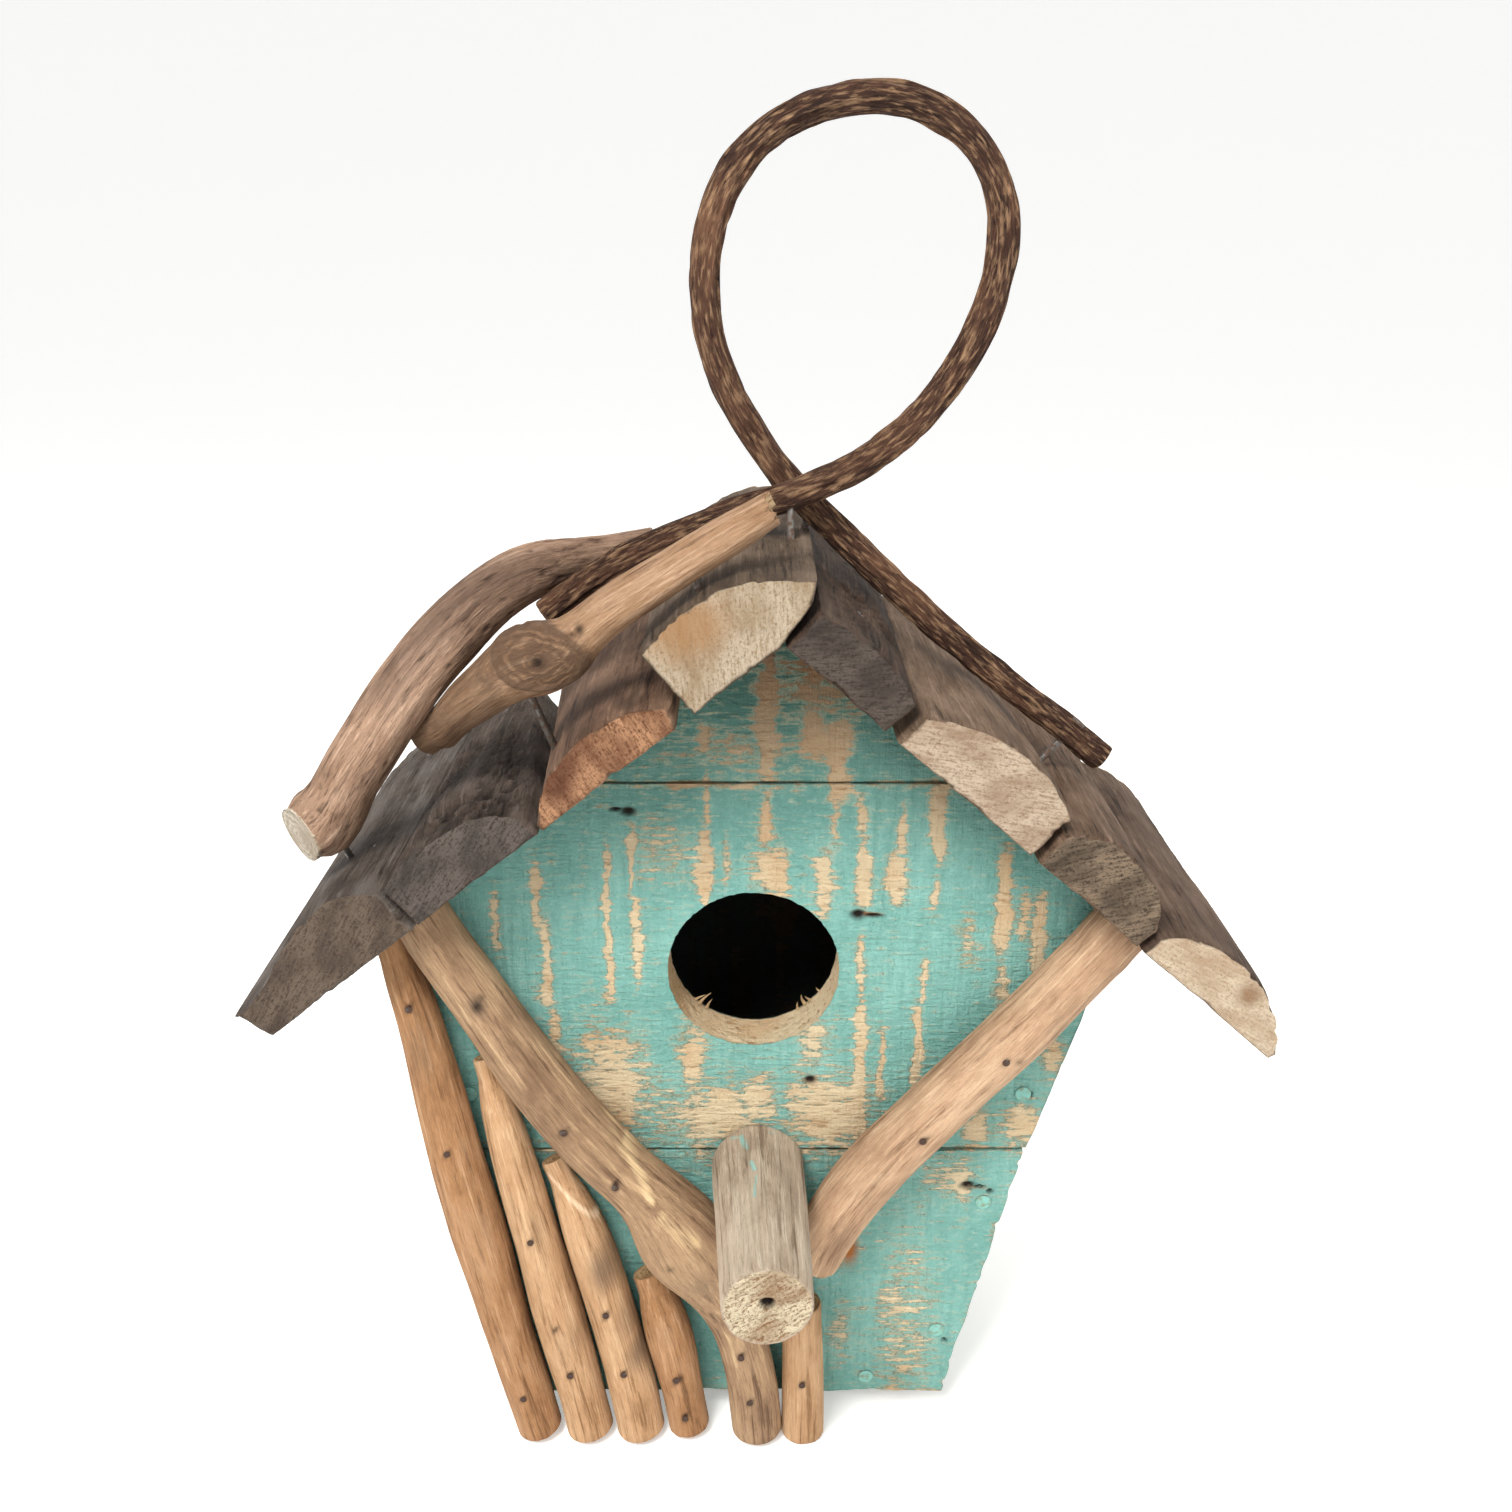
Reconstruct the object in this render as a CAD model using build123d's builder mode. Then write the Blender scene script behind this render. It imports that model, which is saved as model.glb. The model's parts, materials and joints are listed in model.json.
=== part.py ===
"""A hanging garden birdhouse of rough pine boards, half-log roof slats and driftwood trim.

Millimetres, +Z up, +X to the right and +Y to the back as seen from the front. The row's
origin is the hang point, at the top of the vine loop's inside. The shapes are laid out
from the entrance hole's centre on the front wall, and house() moves them to the origin.
"""
import math
import os

from build123d import *

os.makedirs("parts", exist_ok=True)

# ---- driving dimensions ------------------------------------------------------------
hang_x, hang_y, hang_z = 21.5, 25.0, 176.0  # the hang point, from the entrance's centre
entrance_radius = 19.0
board_thickness = 12.0
side_thickness = 10.0
floor_thickness = 10.0
box_depth = 72.0
wall_bottom = -119.5
lower_seam = -47.0  # joint between the lower and the middle boards
upper_seam = 45.0  # joint between the middle and the gable boards
seam_gap = 0.3
ridge_x, ridge_z = 6.0, 82.0  # where the two roof slopes meet
left_pitch, right_pitch = 38.5, 41.3
rafter_drop = 1.0  # the slats' undersides lie this far under the slope lines
slat_front, slat_back = -20.0, 84.0
loose = 0.3  # space between pieces that only lie near each other

# The front wall's outline: two feet, two bends and two eave corners, as (x, z).
foot_left, foot_right = (-54.0, wall_bottom), (47.5, wall_bottom)
bend_right = (64.0, lower_seam)
side_line_left = ((-54.0, wall_bottom), (-79.8, 16.0))
side_line_right = ((45.5, wall_bottom), (79.5, 16.0))


def house(x, y, z):
    """A place measured from the entrance's centre, moved to the row's own origin."""
    return Vector(x - hang_x, y - hang_y, z - hang_z)


def wall_plane(depth):
    """The upright plane at a depth behind the front face: x to the right, y up."""
    return Plane(origin=house(0, depth, 0), x_dir=(1, 0, 0), z_dir=(0, -1, 0))


def slope_directions(side):
    """Unit vectors down a roof slope and square out of it, for side -1 (left) or 1."""
    pitch = math.radians(left_pitch if side < 0 else right_pitch)
    downhill = Vector(side * math.cos(pitch), 0, -math.sin(pitch))
    outward = Vector(side * math.sin(pitch), 0, math.cos(pitch))
    return downhill, outward


def slope_plane(side, depth):
    """The upright plane at a depth, turned so that x runs downhill and y out of the roof."""
    downhill, _ = slope_directions(side)
    return Plane(origin=house(ridge_x, depth, ridge_z), x_dir=downhill, z_dir=(0, -side, 0))


def on_slope(side, along, depth, height):
    """A point given by its distance down the slope, its depth and its height off it."""
    downhill, outward = slope_directions(side)
    return house(ridge_x, depth, ridge_z) + downhill * along + outward * height


def roof_underside(side):
    """The plane just under one side's slats, facing out of the roof."""
    _, outward = slope_directions(side)
    return Plane(origin=on_slope(side, 0, 0, -rafter_drop - loose), z_dir=outward)


def finish(name, piece):
    """Label a finished piece and write it."""
    piece.label = name
    export_step(piece, f"parts/{name}.step")
    print(name, round(piece.volume), "mm3")


# ---- walls: sawn boards, one above the other ---------------------------------------
def eave_corner(side, edge_line):
    """Where a wall's slanted edge meets the underside of the roof."""
    pitch = math.radians(left_pitch if side < 0 else right_pitch)
    (x0, z0), (x1, z1) = edge_line
    lean = (x1 - x0) / (z1 - z0)
    top = ridge_z - rafter_drop / math.cos(pitch)
    fall = math.tan(pitch)
    z = (top + side * fall * (ridge_x - x0 + lean * z0)) / (1 + side * fall * lean)
    return (x0 + lean * (z - z0), z)


def wall_peak():
    """Where the two undersides of the roof meet."""
    left, right = math.radians(left_pitch), math.radians(right_pitch)
    left_top = ridge_z - rafter_drop / math.cos(left)
    right_top = ridge_z - rafter_drop / math.cos(right)
    shift = (right_top - left_top) / (math.tan(left) + math.tan(right))
    return (ridge_x + shift, left_top + shift * math.tan(left))


wall_outline = [
    foot_left,
    foot_right,
    bend_right,
    eave_corner(1, (bend_right, (75.6, -7.5))),
    wall_peak(),
    eave_corner(-1, side_line_left),
]


def wall_board(depth, low, high):
    """The band of the wall's outline between two heights, one board thick."""
    with BuildPart() as board:
        with BuildSketch(wall_plane(depth)):
            with BuildLine():
                Polyline(*wall_outline, close=True)
            make_face()
            with Locations((0, (low + high) / 2)):
                Rectangle(4 * box_depth, high - low, mode=Mode.INTERSECT)
        extrude(amount=-board_thickness)
    return board.part


gable_top = ridge_z + board_thickness
board_bands = {
    "lower": (wall_bottom, lower_seam - seam_gap / 2),
    "middle": (lower_seam + seam_gap / 2, upper_seam - seam_gap / 2),
    "gable": (upper_seam + seam_gap / 2, gable_top),
}

for band in ("lower", "gable"):
    finish(f"front_board_{band}", wall_board(0, *board_bands[band]))

with BuildPart() as front_board_middle:
    add(wall_board(0, *board_bands["middle"]))
    with Locations(wall_plane(0)):
        Hole(entrance_radius, depth=board_thickness)
finish("front_board_middle", front_board_middle.part)

back_face = box_depth
back_inner = back_face - board_thickness
for band in ("middle", "gable"):
    finish(f"back_board_{band}", wall_board(back_inner, *board_bands[band]))


# ---- clean-out: a round hole low in the back wall, and a cover hung on one screw ----
cleanout_x, cleanout_z = -3.0, -84.0
cleanout_radius = 20.0
cover_radius = 27.0
cover_neck_radius = 10.0
cover_thickness = 5.0
pivot_z = -56.0
pivot_radius = 2.0
pivot_clearance = 0.08
pivot_head_radius = 4.5
pivot_head_height = 2.4
pivot_depth = 9.5  # length of the screw inside the back board

with BuildPart() as back_board_lower:
    add(wall_board(back_inner, *board_bands["lower"]))
    with BuildSketch(wall_plane(back_inner)):
        with Locations((cleanout_x, cleanout_z)):
            Circle(cleanout_radius)
    extrude(amount=-board_thickness, mode=Mode.SUBTRACT)
finish("back_board_lower", back_board_lower.part)

cover_inner = back_face + loose
with BuildPart() as cleanout_cover:
    with BuildSketch(wall_plane(cover_inner)):
        with Locations((cleanout_x, cleanout_z)):
            Circle(cover_radius)
        with Locations((cleanout_x, pivot_z)):
            Circle(cover_neck_radius)
        make_hull()
        with Locations((cleanout_x, pivot_z)):
            Circle(pivot_radius + pivot_clearance, mode=Mode.SUBTRACT)
    extrude(amount=-cover_thickness)
    chamfer(cleanout_cover.faces().sort_by(Axis.Y)[-1].outer_wire().edges(), 0.8)
finish("cleanout_cover", cleanout_cover.part)

head_inner = cover_inner + cover_thickness + loose
with BuildPart() as cleanout_screw:
    with BuildSketch(wall_plane(back_face - pivot_depth)):
        with Locations((cleanout_x, pivot_z)):
            Circle(pivot_radius)
    extrude(amount=-(head_inner + pivot_depth - back_face))
    with BuildSketch(wall_plane(head_inner)):
        with Locations((cleanout_x, pivot_z)):
            Circle(pivot_head_radius)
    extrude(amount=-pivot_head_height)
    fillet(cleanout_screw.faces().sort_by(Axis.Y)[-1].edges(), 1.2)
    with BuildSketch(wall_plane(head_inner + pivot_head_height)):
        with Locations((cleanout_x, pivot_z)):
            Rectangle(2 * pivot_head_radius, 1.0)
    extrude(amount=1.0, mode=Mode.SUBTRACT)
finish("cleanout_screw", cleanout_screw.part)


# ---- side boards and floor, between the front and the back -------------------------
def side_board(side, edge_line):
    """A plank along one slanted edge of the box, cut off under the roof."""
    (x0, z0), (x1, z1) = edge_line
    lean = (x1 - x0) / (z1 - z0)
    inward = -side * side_thickness * math.hypot(1, lean)
    x2, z2 = x1 + lean * box_depth, z1 + box_depth  # past the roof line, which cuts the plank
    with BuildPart() as board:
        with BuildSketch(wall_plane(board_thickness)):
            with BuildLine():
                Polyline((x0, z0), (x2, z2), (x2 + inward, z2), (x0 + inward, z0), close=True)
            make_face()
            with BuildLine():
                Polyline(*wall_outline, close=True)
            make_face(mode=Mode.INTERSECT)
        extrude(amount=-(back_inner - board_thickness))
    return board.part


finish("side_board_left", side_board(-1, side_line_left))
finish("side_board_right", side_board(1, side_line_right))


def inner_edge(side, edge_line, z):
    """Where a side board's inner face is at a height."""
    (x0, z0), (x1, z1) = edge_line
    lean = (x1 - x0) / (z1 - z0)
    return x0 + lean * (z - z0) - side * side_thickness * math.hypot(1, lean)


floor_top = wall_bottom + floor_thickness
with BuildPart() as floor_board:
    with BuildSketch(wall_plane(board_thickness)):
        with BuildLine():
            Polyline(
                (inner_edge(-1, side_line_left, wall_bottom), wall_bottom),
                (inner_edge(1, side_line_right, wall_bottom), wall_bottom),
                (inner_edge(1, side_line_right, floor_top), floor_top),
                (inner_edge(-1, side_line_left, floor_top), floor_top),
                close=True,
            )
        make_face()
    extrude(amount=-(back_inner - board_thickness))
finish("floor_board", floor_board.part)


# ---- roof: eight half-log slats, flat side down, four on each slope ----------------
# Each slat is its underside and its rounded top as (distance down the slope, height off
# it), then how far its uphill and downhill edges stray along the slope towards the back,
# and how thick it is at the back, as a share of its thickness in front.
slats = {
    "roof_slat_left_1": (
        -1, [(23.3, -1.0), (1.4, -1.0), (-9.0, 2.2)],
        [(-12.0, 5.2), (-4.6, 12.2), (6.0, 16.6), (17.5, 16.6), (23.6, 14.8)], (0.0, 1.5, 1.0)),
    "roof_slat_left_2": (
        -1, [(62.6, -1.0), (27.5, -1.0)],
        [(25.4, 3.2), (30.3, 7.0), (43.0, 10.0), (54.5, 7.6), (62.8, 0.4)], (1.8, 11.0, 1.1)),
    "roof_slat_left_3": (
        -1, [(96.6, -1.0), (63.2, -1.0)],
        [(63.4, 3.4), (66.8, 8.2), (77.0, 11.6), (89.0, 12.2), (96.9, 9.6)], (12.0, 0.0, 0.9)),
    "roof_slat_left_4": (
        -1, [(138.6, -1.0), (97.4, -1.0)],
        [(97.6, 9.4), (105.7, 15.0), (117.3, 14.8), (124.5, 13.0), (131.0, 9.6), (141.4, 7.4)],
        (0.0, 2.0, 1.0)),
    "roof_slat_right_1": (
        1, [(27.3, -1.0), (1.2, -1.0)],
        [(1.3, 9.0), (12.1, 10.9), (21.0, 10.4), (28.2, 7.0)], (0.0, 0.5, 1.0)),
    "roof_slat_right_2": (
        1, [(67.6, -1.0), (30.4, -1.0)],
        [(30.4, 6.4), (38.0, 11.4), (51.5, 14.6), (62.0, 13.4), (67.9, 10.0)], (-0.8, 0.0, 0.7)),
    "roof_slat_right_3": (
        1, [(98.6, -1.0), (69.5, -1.0)],
        [(68.9, 7.0), (75.7, 12.4), (87.3, 12.9), (95.4, 9.6), (99.0, 4.0)], (0.0, 0.0, 0.95)),
    "roof_slat_right_4": (
        1, [(139.2, -1.0), (99.8, -1.0)],
        [(99.9, 3.4), (107.5, 9.6), (120.0, 11.4), (132.5, 7.6), (139.8, 0.6)], (0.0, -2.0, 1.0)),
}


def strayed(points, start, end, stray):
    """Slide profile points along the slope, in step with their place, and thin the slat."""
    uphill, downhill, share = stray
    slide = (downhill - uphill) / (end - start)
    return [(s + uphill + slide * (s - start), (h + rafter_drop) * share - rafter_drop) for s, h in points]


def roof_slat(side, underside, crown, stray):
    """A slat lofted from its front end's profile to its back end's."""
    start, end = crown[0][0], crown[-1][0]
    with BuildPart() as slat:
        for depth, shift in ((slat_front, (0.0, 0.0, 1.0)), (slat_back, stray)):
            flat = strayed(underside, start, end, shift)
            top = strayed(crown, start, end, shift)
            with BuildSketch(slope_plane(side, depth)):
                with BuildLine():
                    Polyline(top[-1], *flat, top[0])
                    Spline(*top)
                make_face()
        loft(ruled=True)
    return slat.part


for name, (side, underside, crown, stray) in slats.items():
    finish(name, roof_slat(side, underside, crown, stray))


# ---- driftwood: round sticks lofted through circles --------------------------------
def driftwood(stations):
    """A round stick through circles at (x, depth, z, radius), square to its run."""
    places = [house(x, y, z) for x, y, z, _ in stations]
    with BuildPart() as stick:
        for index, place in enumerate(places):
            before = places[max(index - 1, 0)]
            after = places[min(index + 1, len(places) - 1)]
            with BuildSketch(Plane(origin=place, x_dir=(0, 1, 0), z_dir=after - before)):
                Circle(stations[index][3])
        loft()
    return stick.part


def trimmed(stick, side):
    """A stick cut off along the underside of the roof."""
    with BuildPart() as cut:
        add(stick)
        split(bisect_by=roof_underside(side), keep=Keep.BOTTOM)
    return cut.part


def on_front(points):
    """Stations for a stick that lies against the front wall, from (x, z, radius)."""
    return [(x, -radius - loose / 2, z, radius) for x, z, radius in points]


stick_foot = -124.4
front_sticks = {
    "stick_left_1": [(-80.4, 15.0, 2.8), (-77.2, 3.6, 4.1), (-73.2, -14.0, 5.2), (-69.8, -35.0, 5.8),
                     (-65.8, -57.0, 6.4), (-61.2, -82.0, 6.2), (-57.2, -104.0, 5.6),
                     (-53.2, stick_foot, 5.2)],
    "stick_left_2": [(-61.4, -21.0, 0.9), (-58.4, -32.0, 3.8), (-54.2, -51.5, 5.0), (-49.7, -74.0, 5.8),
                     (-45.0, -98.0, 6.0), (-40.6, stick_foot, 6.1)],
    "stick_left_3": [(-47.6, -48.5, 1.1), (-43.1, -57.0, 4.0), (-38.3, -71.0, 5.5), (-34.2, -88.6, 5.7),
                     (-30.5, -107.0, 5.8), (-28.2, stick_foot, 5.6)],
    "stick_left_4": [(-25.8, -79.5, 2.6), (-22.4, -88.6, 5.0), (-19.0, -104.0, 5.4),
                     (-16.0, stick_foot, 5.3)],
    "stick_centre": [(11.6, -87.0, 4.6), (11.9, -101.0, 5.0), (12.1, stick_foot - 1.6, 5.2)],
}
for name, points in front_sticks.items():
    stick = driftwood(on_front(points))
    finish(name, trimmed(stick, -1) if name == "stick_left_1" else stick)

front_branch_left = driftwood(on_front(
    [(-72.6, 21.0, 6.2), (-70.0, 14.0, 6.3), (-61.6, -0.3, 6.6), (-51.8, -17.9, 7.0), (-39.3, -36.2, 7.4),
     (-26.2, -52.5, 7.7), (-16.0, -65.1, 9.2), (-9.4, -76.6, 8.0), (-4.6, -90.0, 6.4),
     (-1.2, -105.0, 6.1), (-0.2, stick_foot, 6.0)]))
finish("front_branch_left", trimmed(front_branch_left, -1))

rail_right = driftwood(on_front(
    [(86.0, 22.0, 6.6), (77.9, 12.6, 6.6), (63.0, -5.8, 6.7), (46.3, -25.0, 6.9), (29.0, -45.0, 7.1),
     (18.9, -60.3, 7.0), (14.0, -72.5, 5.9)]))
finish("rail_right", trimmed(rail_right, 1))

corner_stick_left = driftwood(
    [(-82.9, 6.0, 12.0, 3.2), (-81.1, 6.0, 3.0, 3.4), (-77.5, 6.0, -22.0, 4.0), (-72.9, 6.0, -48.0, 4.4),
     (-62.7, 6.0, -103.0, 4.6), (-59.4, 6.0, -121.8, 4.4)])
finish("corner_stick_left", trimmed(corner_stick_left, -1))

knotted_branch = driftwood(
    [(4.8, -8.0, 105.8, 3.6), (-2.5, -10.2, 101.8, 3.9), (-10.2, -12.0, 97.3, 4.2), (-19.9, -12.0, 91.2, 4.4),
     (-28.6, -10.4, 85.2, 4.6), (-34.6, -8.5, 80.6, 5.3), (-40.4, -6.5, 76.2, 7.0), (-45.8, -4.3, 72.6, 7.2),
     (-51.0, -1.8, 69.0, 6.2), (-56.0, 1.0, 65.0, 5.6), (-61.0, 4.4, 60.2, 5.0), (-65.6, 7.6, 55.5, 4.4),
     (-69.8, 10.2, 51.2, 3.9)])
finish("knotted_branch", knotted_branch)

bent_branch = driftwood(
    [(-97.4, 1.6, 27.0, 6.2), (-91.8, 2.0, 36.9, 6.7), (-86.3, 2.6, 45.6, 6.8), (-79.6, 3.8, 55.0, 6.7),
     (-73.2, 6.4, 64.4, 6.8), (-66.7, 10.2, 72.3, 7.0), (-59.9, 15.2, 79.0, 6.8), (-51.5, 21.5, 84.4, 6.4),
     (-43.9, 26.0, 86.6, 5.6), (-36.6, 28.2, 87.8, 4.2), (-29.6, 28.8, 88.9, 3.4), (-21.6, 29.0, 90.0, 2.9)])
finish("bent_branch", bent_branch)


# ---- handle: one bent vine stem, its two legs crossing over the ridge --------------
vine_radius = 3.7
vine_route = [
    (-45.0, 17.5, 77.0), (-35.1, 18.2, 84.4), (-24.3, 18.8, 90.7), (-6.0, 19.4, 98.2), (9.9, 19.7, 102.7),
    (22.9, 20.0, 108.9), (35.0, 20.7, 118.0), (44.8, 21.6, 131.8), (50.4, 22.4, 147.4), (50.2, 23.2, 161.2),
    (44.2, 24.0, 172.2), (34.0, 24.8, 178.6), (21.5, 25.0, 180.2), (7.6, 25.8, 176.8), (-3.2, 26.4, 168.4),
    (-9.2, 27.0, 156.0), (-10.6, 27.5, 141.2), (-6.9, 28.0, 126.0), (1.0, 28.4, 112.0), (10.2, 28.6, 100.8),
    (21.3, 27.2, 90.2), (36.7, 24.2, 76.2), (54.2, 20.8, 62.0), (67.0, 19.0, 52.6), (78.2, 18.0, 43.9),
]


def bend_radii(points, share=0.45):
    """The arc at each corner that uses this share of its shorter run."""
    radii = []
    for before, corner, after in zip(points, points[1:], points[2:]):
        turn = math.radians((corner - before).get_angle(after - corner))
        radii.append(share * min((corner - before).length, (after - corner).length) / math.tan(turn / 2))
    return radii


vine_points = [house(*point) for point in vine_route]
with BuildPart() as handle_vine:
    with BuildLine() as vine_line:
        FilletPolyline(*vine_points, radius=bend_radii(vine_points))
    with BuildSketch(Plane(origin=vine_points[0], z_dir=vine_points[1] - vine_points[0])):
        Circle(vine_radius)
    sweep()
finish("handle_vine", handle_vine.part)
print("vine: volume over section times length",
      round(handle_vine.part.volume / (math.pi * vine_radius**2 * vine_line.wires()[0].length), 3))


# ---- perch: a tapered peg over the lower seam, screwed on from inside --------------
perch_length = 49.0
perch_root = (0.9, -50.7, 10.8)
perch_tip = (2.9, -50.7, 9.7)
perch_crown = 1.0
with BuildPart() as perch:
    for depth, (x, z, radius) in ((-loose / 2, perch_root), (-perch_length, perch_tip)):
        with BuildSketch(wall_plane(depth)):
            with Locations((x, z)):
                Circle(radius)
    loft()
    chamfer(perch.faces().sort_by(Axis.Y)[0].edges(), perch_crown)
finish("perch", perch.part)

perch_screw_z = -54.5
perch_screw_length = 35.0
with BuildPart() as perch_screw:
    with BuildSketch(wall_plane(board_thickness)):
        with Locations((perch_root[0], perch_screw_z)):
            Circle(1.9)
    extrude(amount=perch_screw_length)
    with BuildSketch(wall_plane(board_thickness)):
        with Locations((perch_root[0], perch_screw_z)):
            Circle(3.6)
    extrude(amount=-2.0)
finish("perch_screw", perch_screw.part)


# ---- nails and brads, each group one node ------------------------------------------
def nails(driven, shank_radius, head_radius, head_height):
    """A group of round-headed nails, each from (head's place, direction, length)."""
    with BuildPart() as group:
        for place, direction, length in driven:
            with BuildSketch(Plane(origin=place, z_dir=direction)):
                Circle(shank_radius)
            extrude(amount=length)
            with BuildSketch(Plane(origin=place, z_dir=direction)):
                Circle(head_radius)
            extrude(amount=-head_height)
    return group.part


def crown_height(crown, along):
    """The height of a slat's rounded top at a distance down the slope."""
    for (s0, h0), (s1, h1) in zip(crown, crown[1:]):
        if s0 <= along <= s1:
            return h0 + (h1 - h0) * (along - s0) / (s1 - s0)
    raise ValueError("the nail misses its slat")


# One nail at each end of each slat, into the edges of the front and the back boards.
roof_nail_along = {
    "roof_slat_left_1": 9.0, "roof_slat_left_2": 44.0, "roof_slat_left_3": 82.0, "roof_slat_left_4": 105.0,
    "roof_slat_right_1": 14.0, "roof_slat_right_2": 50.0, "roof_slat_right_3": 82.0,
    "roof_slat_right_4": 103.5,
}
nail_sink = 1.8  # the heads are driven this far below the slats' tops
roof_nails = []
for name, along in roof_nail_along.items():
    side, _, crown, (_, _, back_share) = slats[name]
    _, outward = slope_directions(side)
    for depth in (board_thickness / 2, back_face - board_thickness / 2):
        share = 1 + (back_share - 1) * (depth - slat_front) / (slat_back - slat_front)
        head = on_slope(side, along, depth, crown_height(crown, along) * share - nail_sink)
        roof_nails.append((head, outward * -1, 29.0 if along < 100 else 20.0))
finish("roof_nails", nails(roof_nails, 0.8, 1.5, 0.5))

# Nails through the front and back boards into the side boards and the floor.
box_nails = []
for face, direction in ((0.0, Vector(0, 1, 0)), (back_face, Vector(0, -1, 0))):
    for side, edge_line in ((-1, side_line_left), (1, side_line_right)):
        for z in (-100.0, -62.0, -32.0, -4.0):
            x = inner_edge(side, edge_line, z) + side * side_thickness / 2
            box_nails.append((house(x, face, z), direction, 30.0))
    for x in (-34.0, 28.0):
        box_nails.append((house(x, face, wall_bottom + floor_thickness / 2), direction, 30.0))
finish("box_nails", nails(box_nails, 0.9, 1.8, 0.05))

# Brads through the front sticks, at (x, z, the stick's radius there).
brad_places = [
    (-75.0, -4.0, 4.9), (-68.9, -40.0, 5.9), (-55.8, -111.0, 5.5),
    (-51.6, -65.0, 5.4), (-46.8, -89.0, 5.9), (-44.0, -103.0, 6.0),
    (-34.9, -85.5, 5.7), (-31.2, -103.0, 5.8),
    (-18.7, -105.5, 5.4), (-16.7, -117.5, 5.3),
    (-42.0, -32.4, 7.3), (-31.0, -46.5, 7.6), (-3.0, -97.0, 6.3), (-0.9, -111.0, 6.1),
    (11.7, -107.5, 5.1), (55.0, -15.0, 6.8), (37.6, -35.0, 7.0),
]
stick_brads = [(house(x, -2 * radius - loose / 2, z), Vector(0, 1, 0), 2 * radius + 9.0)
               for x, z, radius in brad_places]
finish("stick_brads", nails(stick_brads, 0.55, 0.8, 0.1))

nail_set = 1.6  # the heads are set this far into the stems


def aimed(start, end):
    """A nail driven in at start on a stem's surface, whose point is at end."""
    surface, tip = house(*start), house(*end)
    head = surface + (tip - surface).normalized() * nail_set
    return (head, tip - head, (tip - head).length)


# Nails that hold the handle and the two roof branches down.
finish("handle_nails", nails([
    aimed((7.4, 19.6, 105.3), (8.4, 15.5, 84.0)),
    aimed((12.8, 28.6, 102.4), (9.6, 29.5, 84.6)),
    aimed((73.0, 18.5, 53.2), (60.0, 18.5, 38.4)),
], 0.8, 1.8, 0.6))
finish("branch_nails", nails([
    aimed((-12.0, -11.6, 99.6), (-9.4, -11.0, 82.6)),
    aimed((-49.6, -4.0, 76.6), (-41.4, 1.0, 51.6)),
    aimed((-95.2, 1.8, 41.2), (-85.2, 7.0, 17.6)),
], 0.8, 1.8, 0.6))
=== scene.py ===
"""A hanging birdhouse of rough painted boards, half-log roof slats, driftwood and a vine loop.

Shapes are worked out in millimetres from the entrance's centre on the front face: x to the
right, y to the back, z up. place() turns them into the row frame's metres.
"""
import json
import math

import bpy
import numpy as np
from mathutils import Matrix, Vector


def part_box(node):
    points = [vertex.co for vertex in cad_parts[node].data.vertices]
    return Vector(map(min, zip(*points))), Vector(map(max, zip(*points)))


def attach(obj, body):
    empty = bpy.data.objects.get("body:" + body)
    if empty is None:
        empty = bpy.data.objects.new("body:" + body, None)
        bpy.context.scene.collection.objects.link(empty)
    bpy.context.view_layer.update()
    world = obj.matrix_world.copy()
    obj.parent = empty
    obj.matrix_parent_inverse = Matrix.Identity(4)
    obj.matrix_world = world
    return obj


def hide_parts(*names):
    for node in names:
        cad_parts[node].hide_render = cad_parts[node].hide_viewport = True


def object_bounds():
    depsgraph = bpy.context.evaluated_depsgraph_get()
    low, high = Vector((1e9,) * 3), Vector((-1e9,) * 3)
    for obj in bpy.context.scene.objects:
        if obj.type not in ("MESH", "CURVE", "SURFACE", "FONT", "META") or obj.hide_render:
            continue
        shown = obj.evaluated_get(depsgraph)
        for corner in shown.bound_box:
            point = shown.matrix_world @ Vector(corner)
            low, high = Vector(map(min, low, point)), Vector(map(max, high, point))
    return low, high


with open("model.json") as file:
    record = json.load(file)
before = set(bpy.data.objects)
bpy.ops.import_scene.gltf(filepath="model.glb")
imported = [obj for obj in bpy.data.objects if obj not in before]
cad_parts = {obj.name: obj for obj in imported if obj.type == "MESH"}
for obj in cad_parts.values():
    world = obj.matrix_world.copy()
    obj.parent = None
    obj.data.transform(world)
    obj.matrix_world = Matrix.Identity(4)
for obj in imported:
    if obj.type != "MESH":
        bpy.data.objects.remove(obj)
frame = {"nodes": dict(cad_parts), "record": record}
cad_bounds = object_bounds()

# ---- the camera -----------------------------------------------------------------------
# It looks at the front from a little over 300 mm away, level with the roof's ridge and a
# bit more, and tilted down.
entrance = next(m for m in frame["record"]["mounts"] if m["name"] == "entrance")
board_thickness = entrance["dims"]["length_mm"]
entrance_radius = entrance["dims"]["r_mm"]
entrance_place = np.array(entrance["pos_m"]) - (0, board_thickness / 2000, 0)


def place(points):
    """Millimetres from the entrance, divided by 1000 and moved to the row frame's origin."""
    return entrance_place + np.asarray(points) / 1000


camera_data = bpy.data.cameras.new("camera")
camera_data.lens = 34.67
camera_data.sensor_width = 36
camera_data.clip_start = 0.01
camera = bpy.data.objects.new("camera", camera_data)
camera.location = place((0.56, -287.4, 158.0))
camera.rotation_euler = (math.radians(90 - 20.4), 0, 0)
bpy.context.scene.collection.objects.link(camera)
bpy.context.scene.camera = camera

# ---- front wall: three boards ---------------------------------------------------------
# Rough-sawn pine, one board above the other, brushed with thin aqua paint that has worn
# off the saw's upright ridges. The entrance is bored through the middle board.
lattice = np.random.default_rng(11).random((32, 32, 32))


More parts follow.
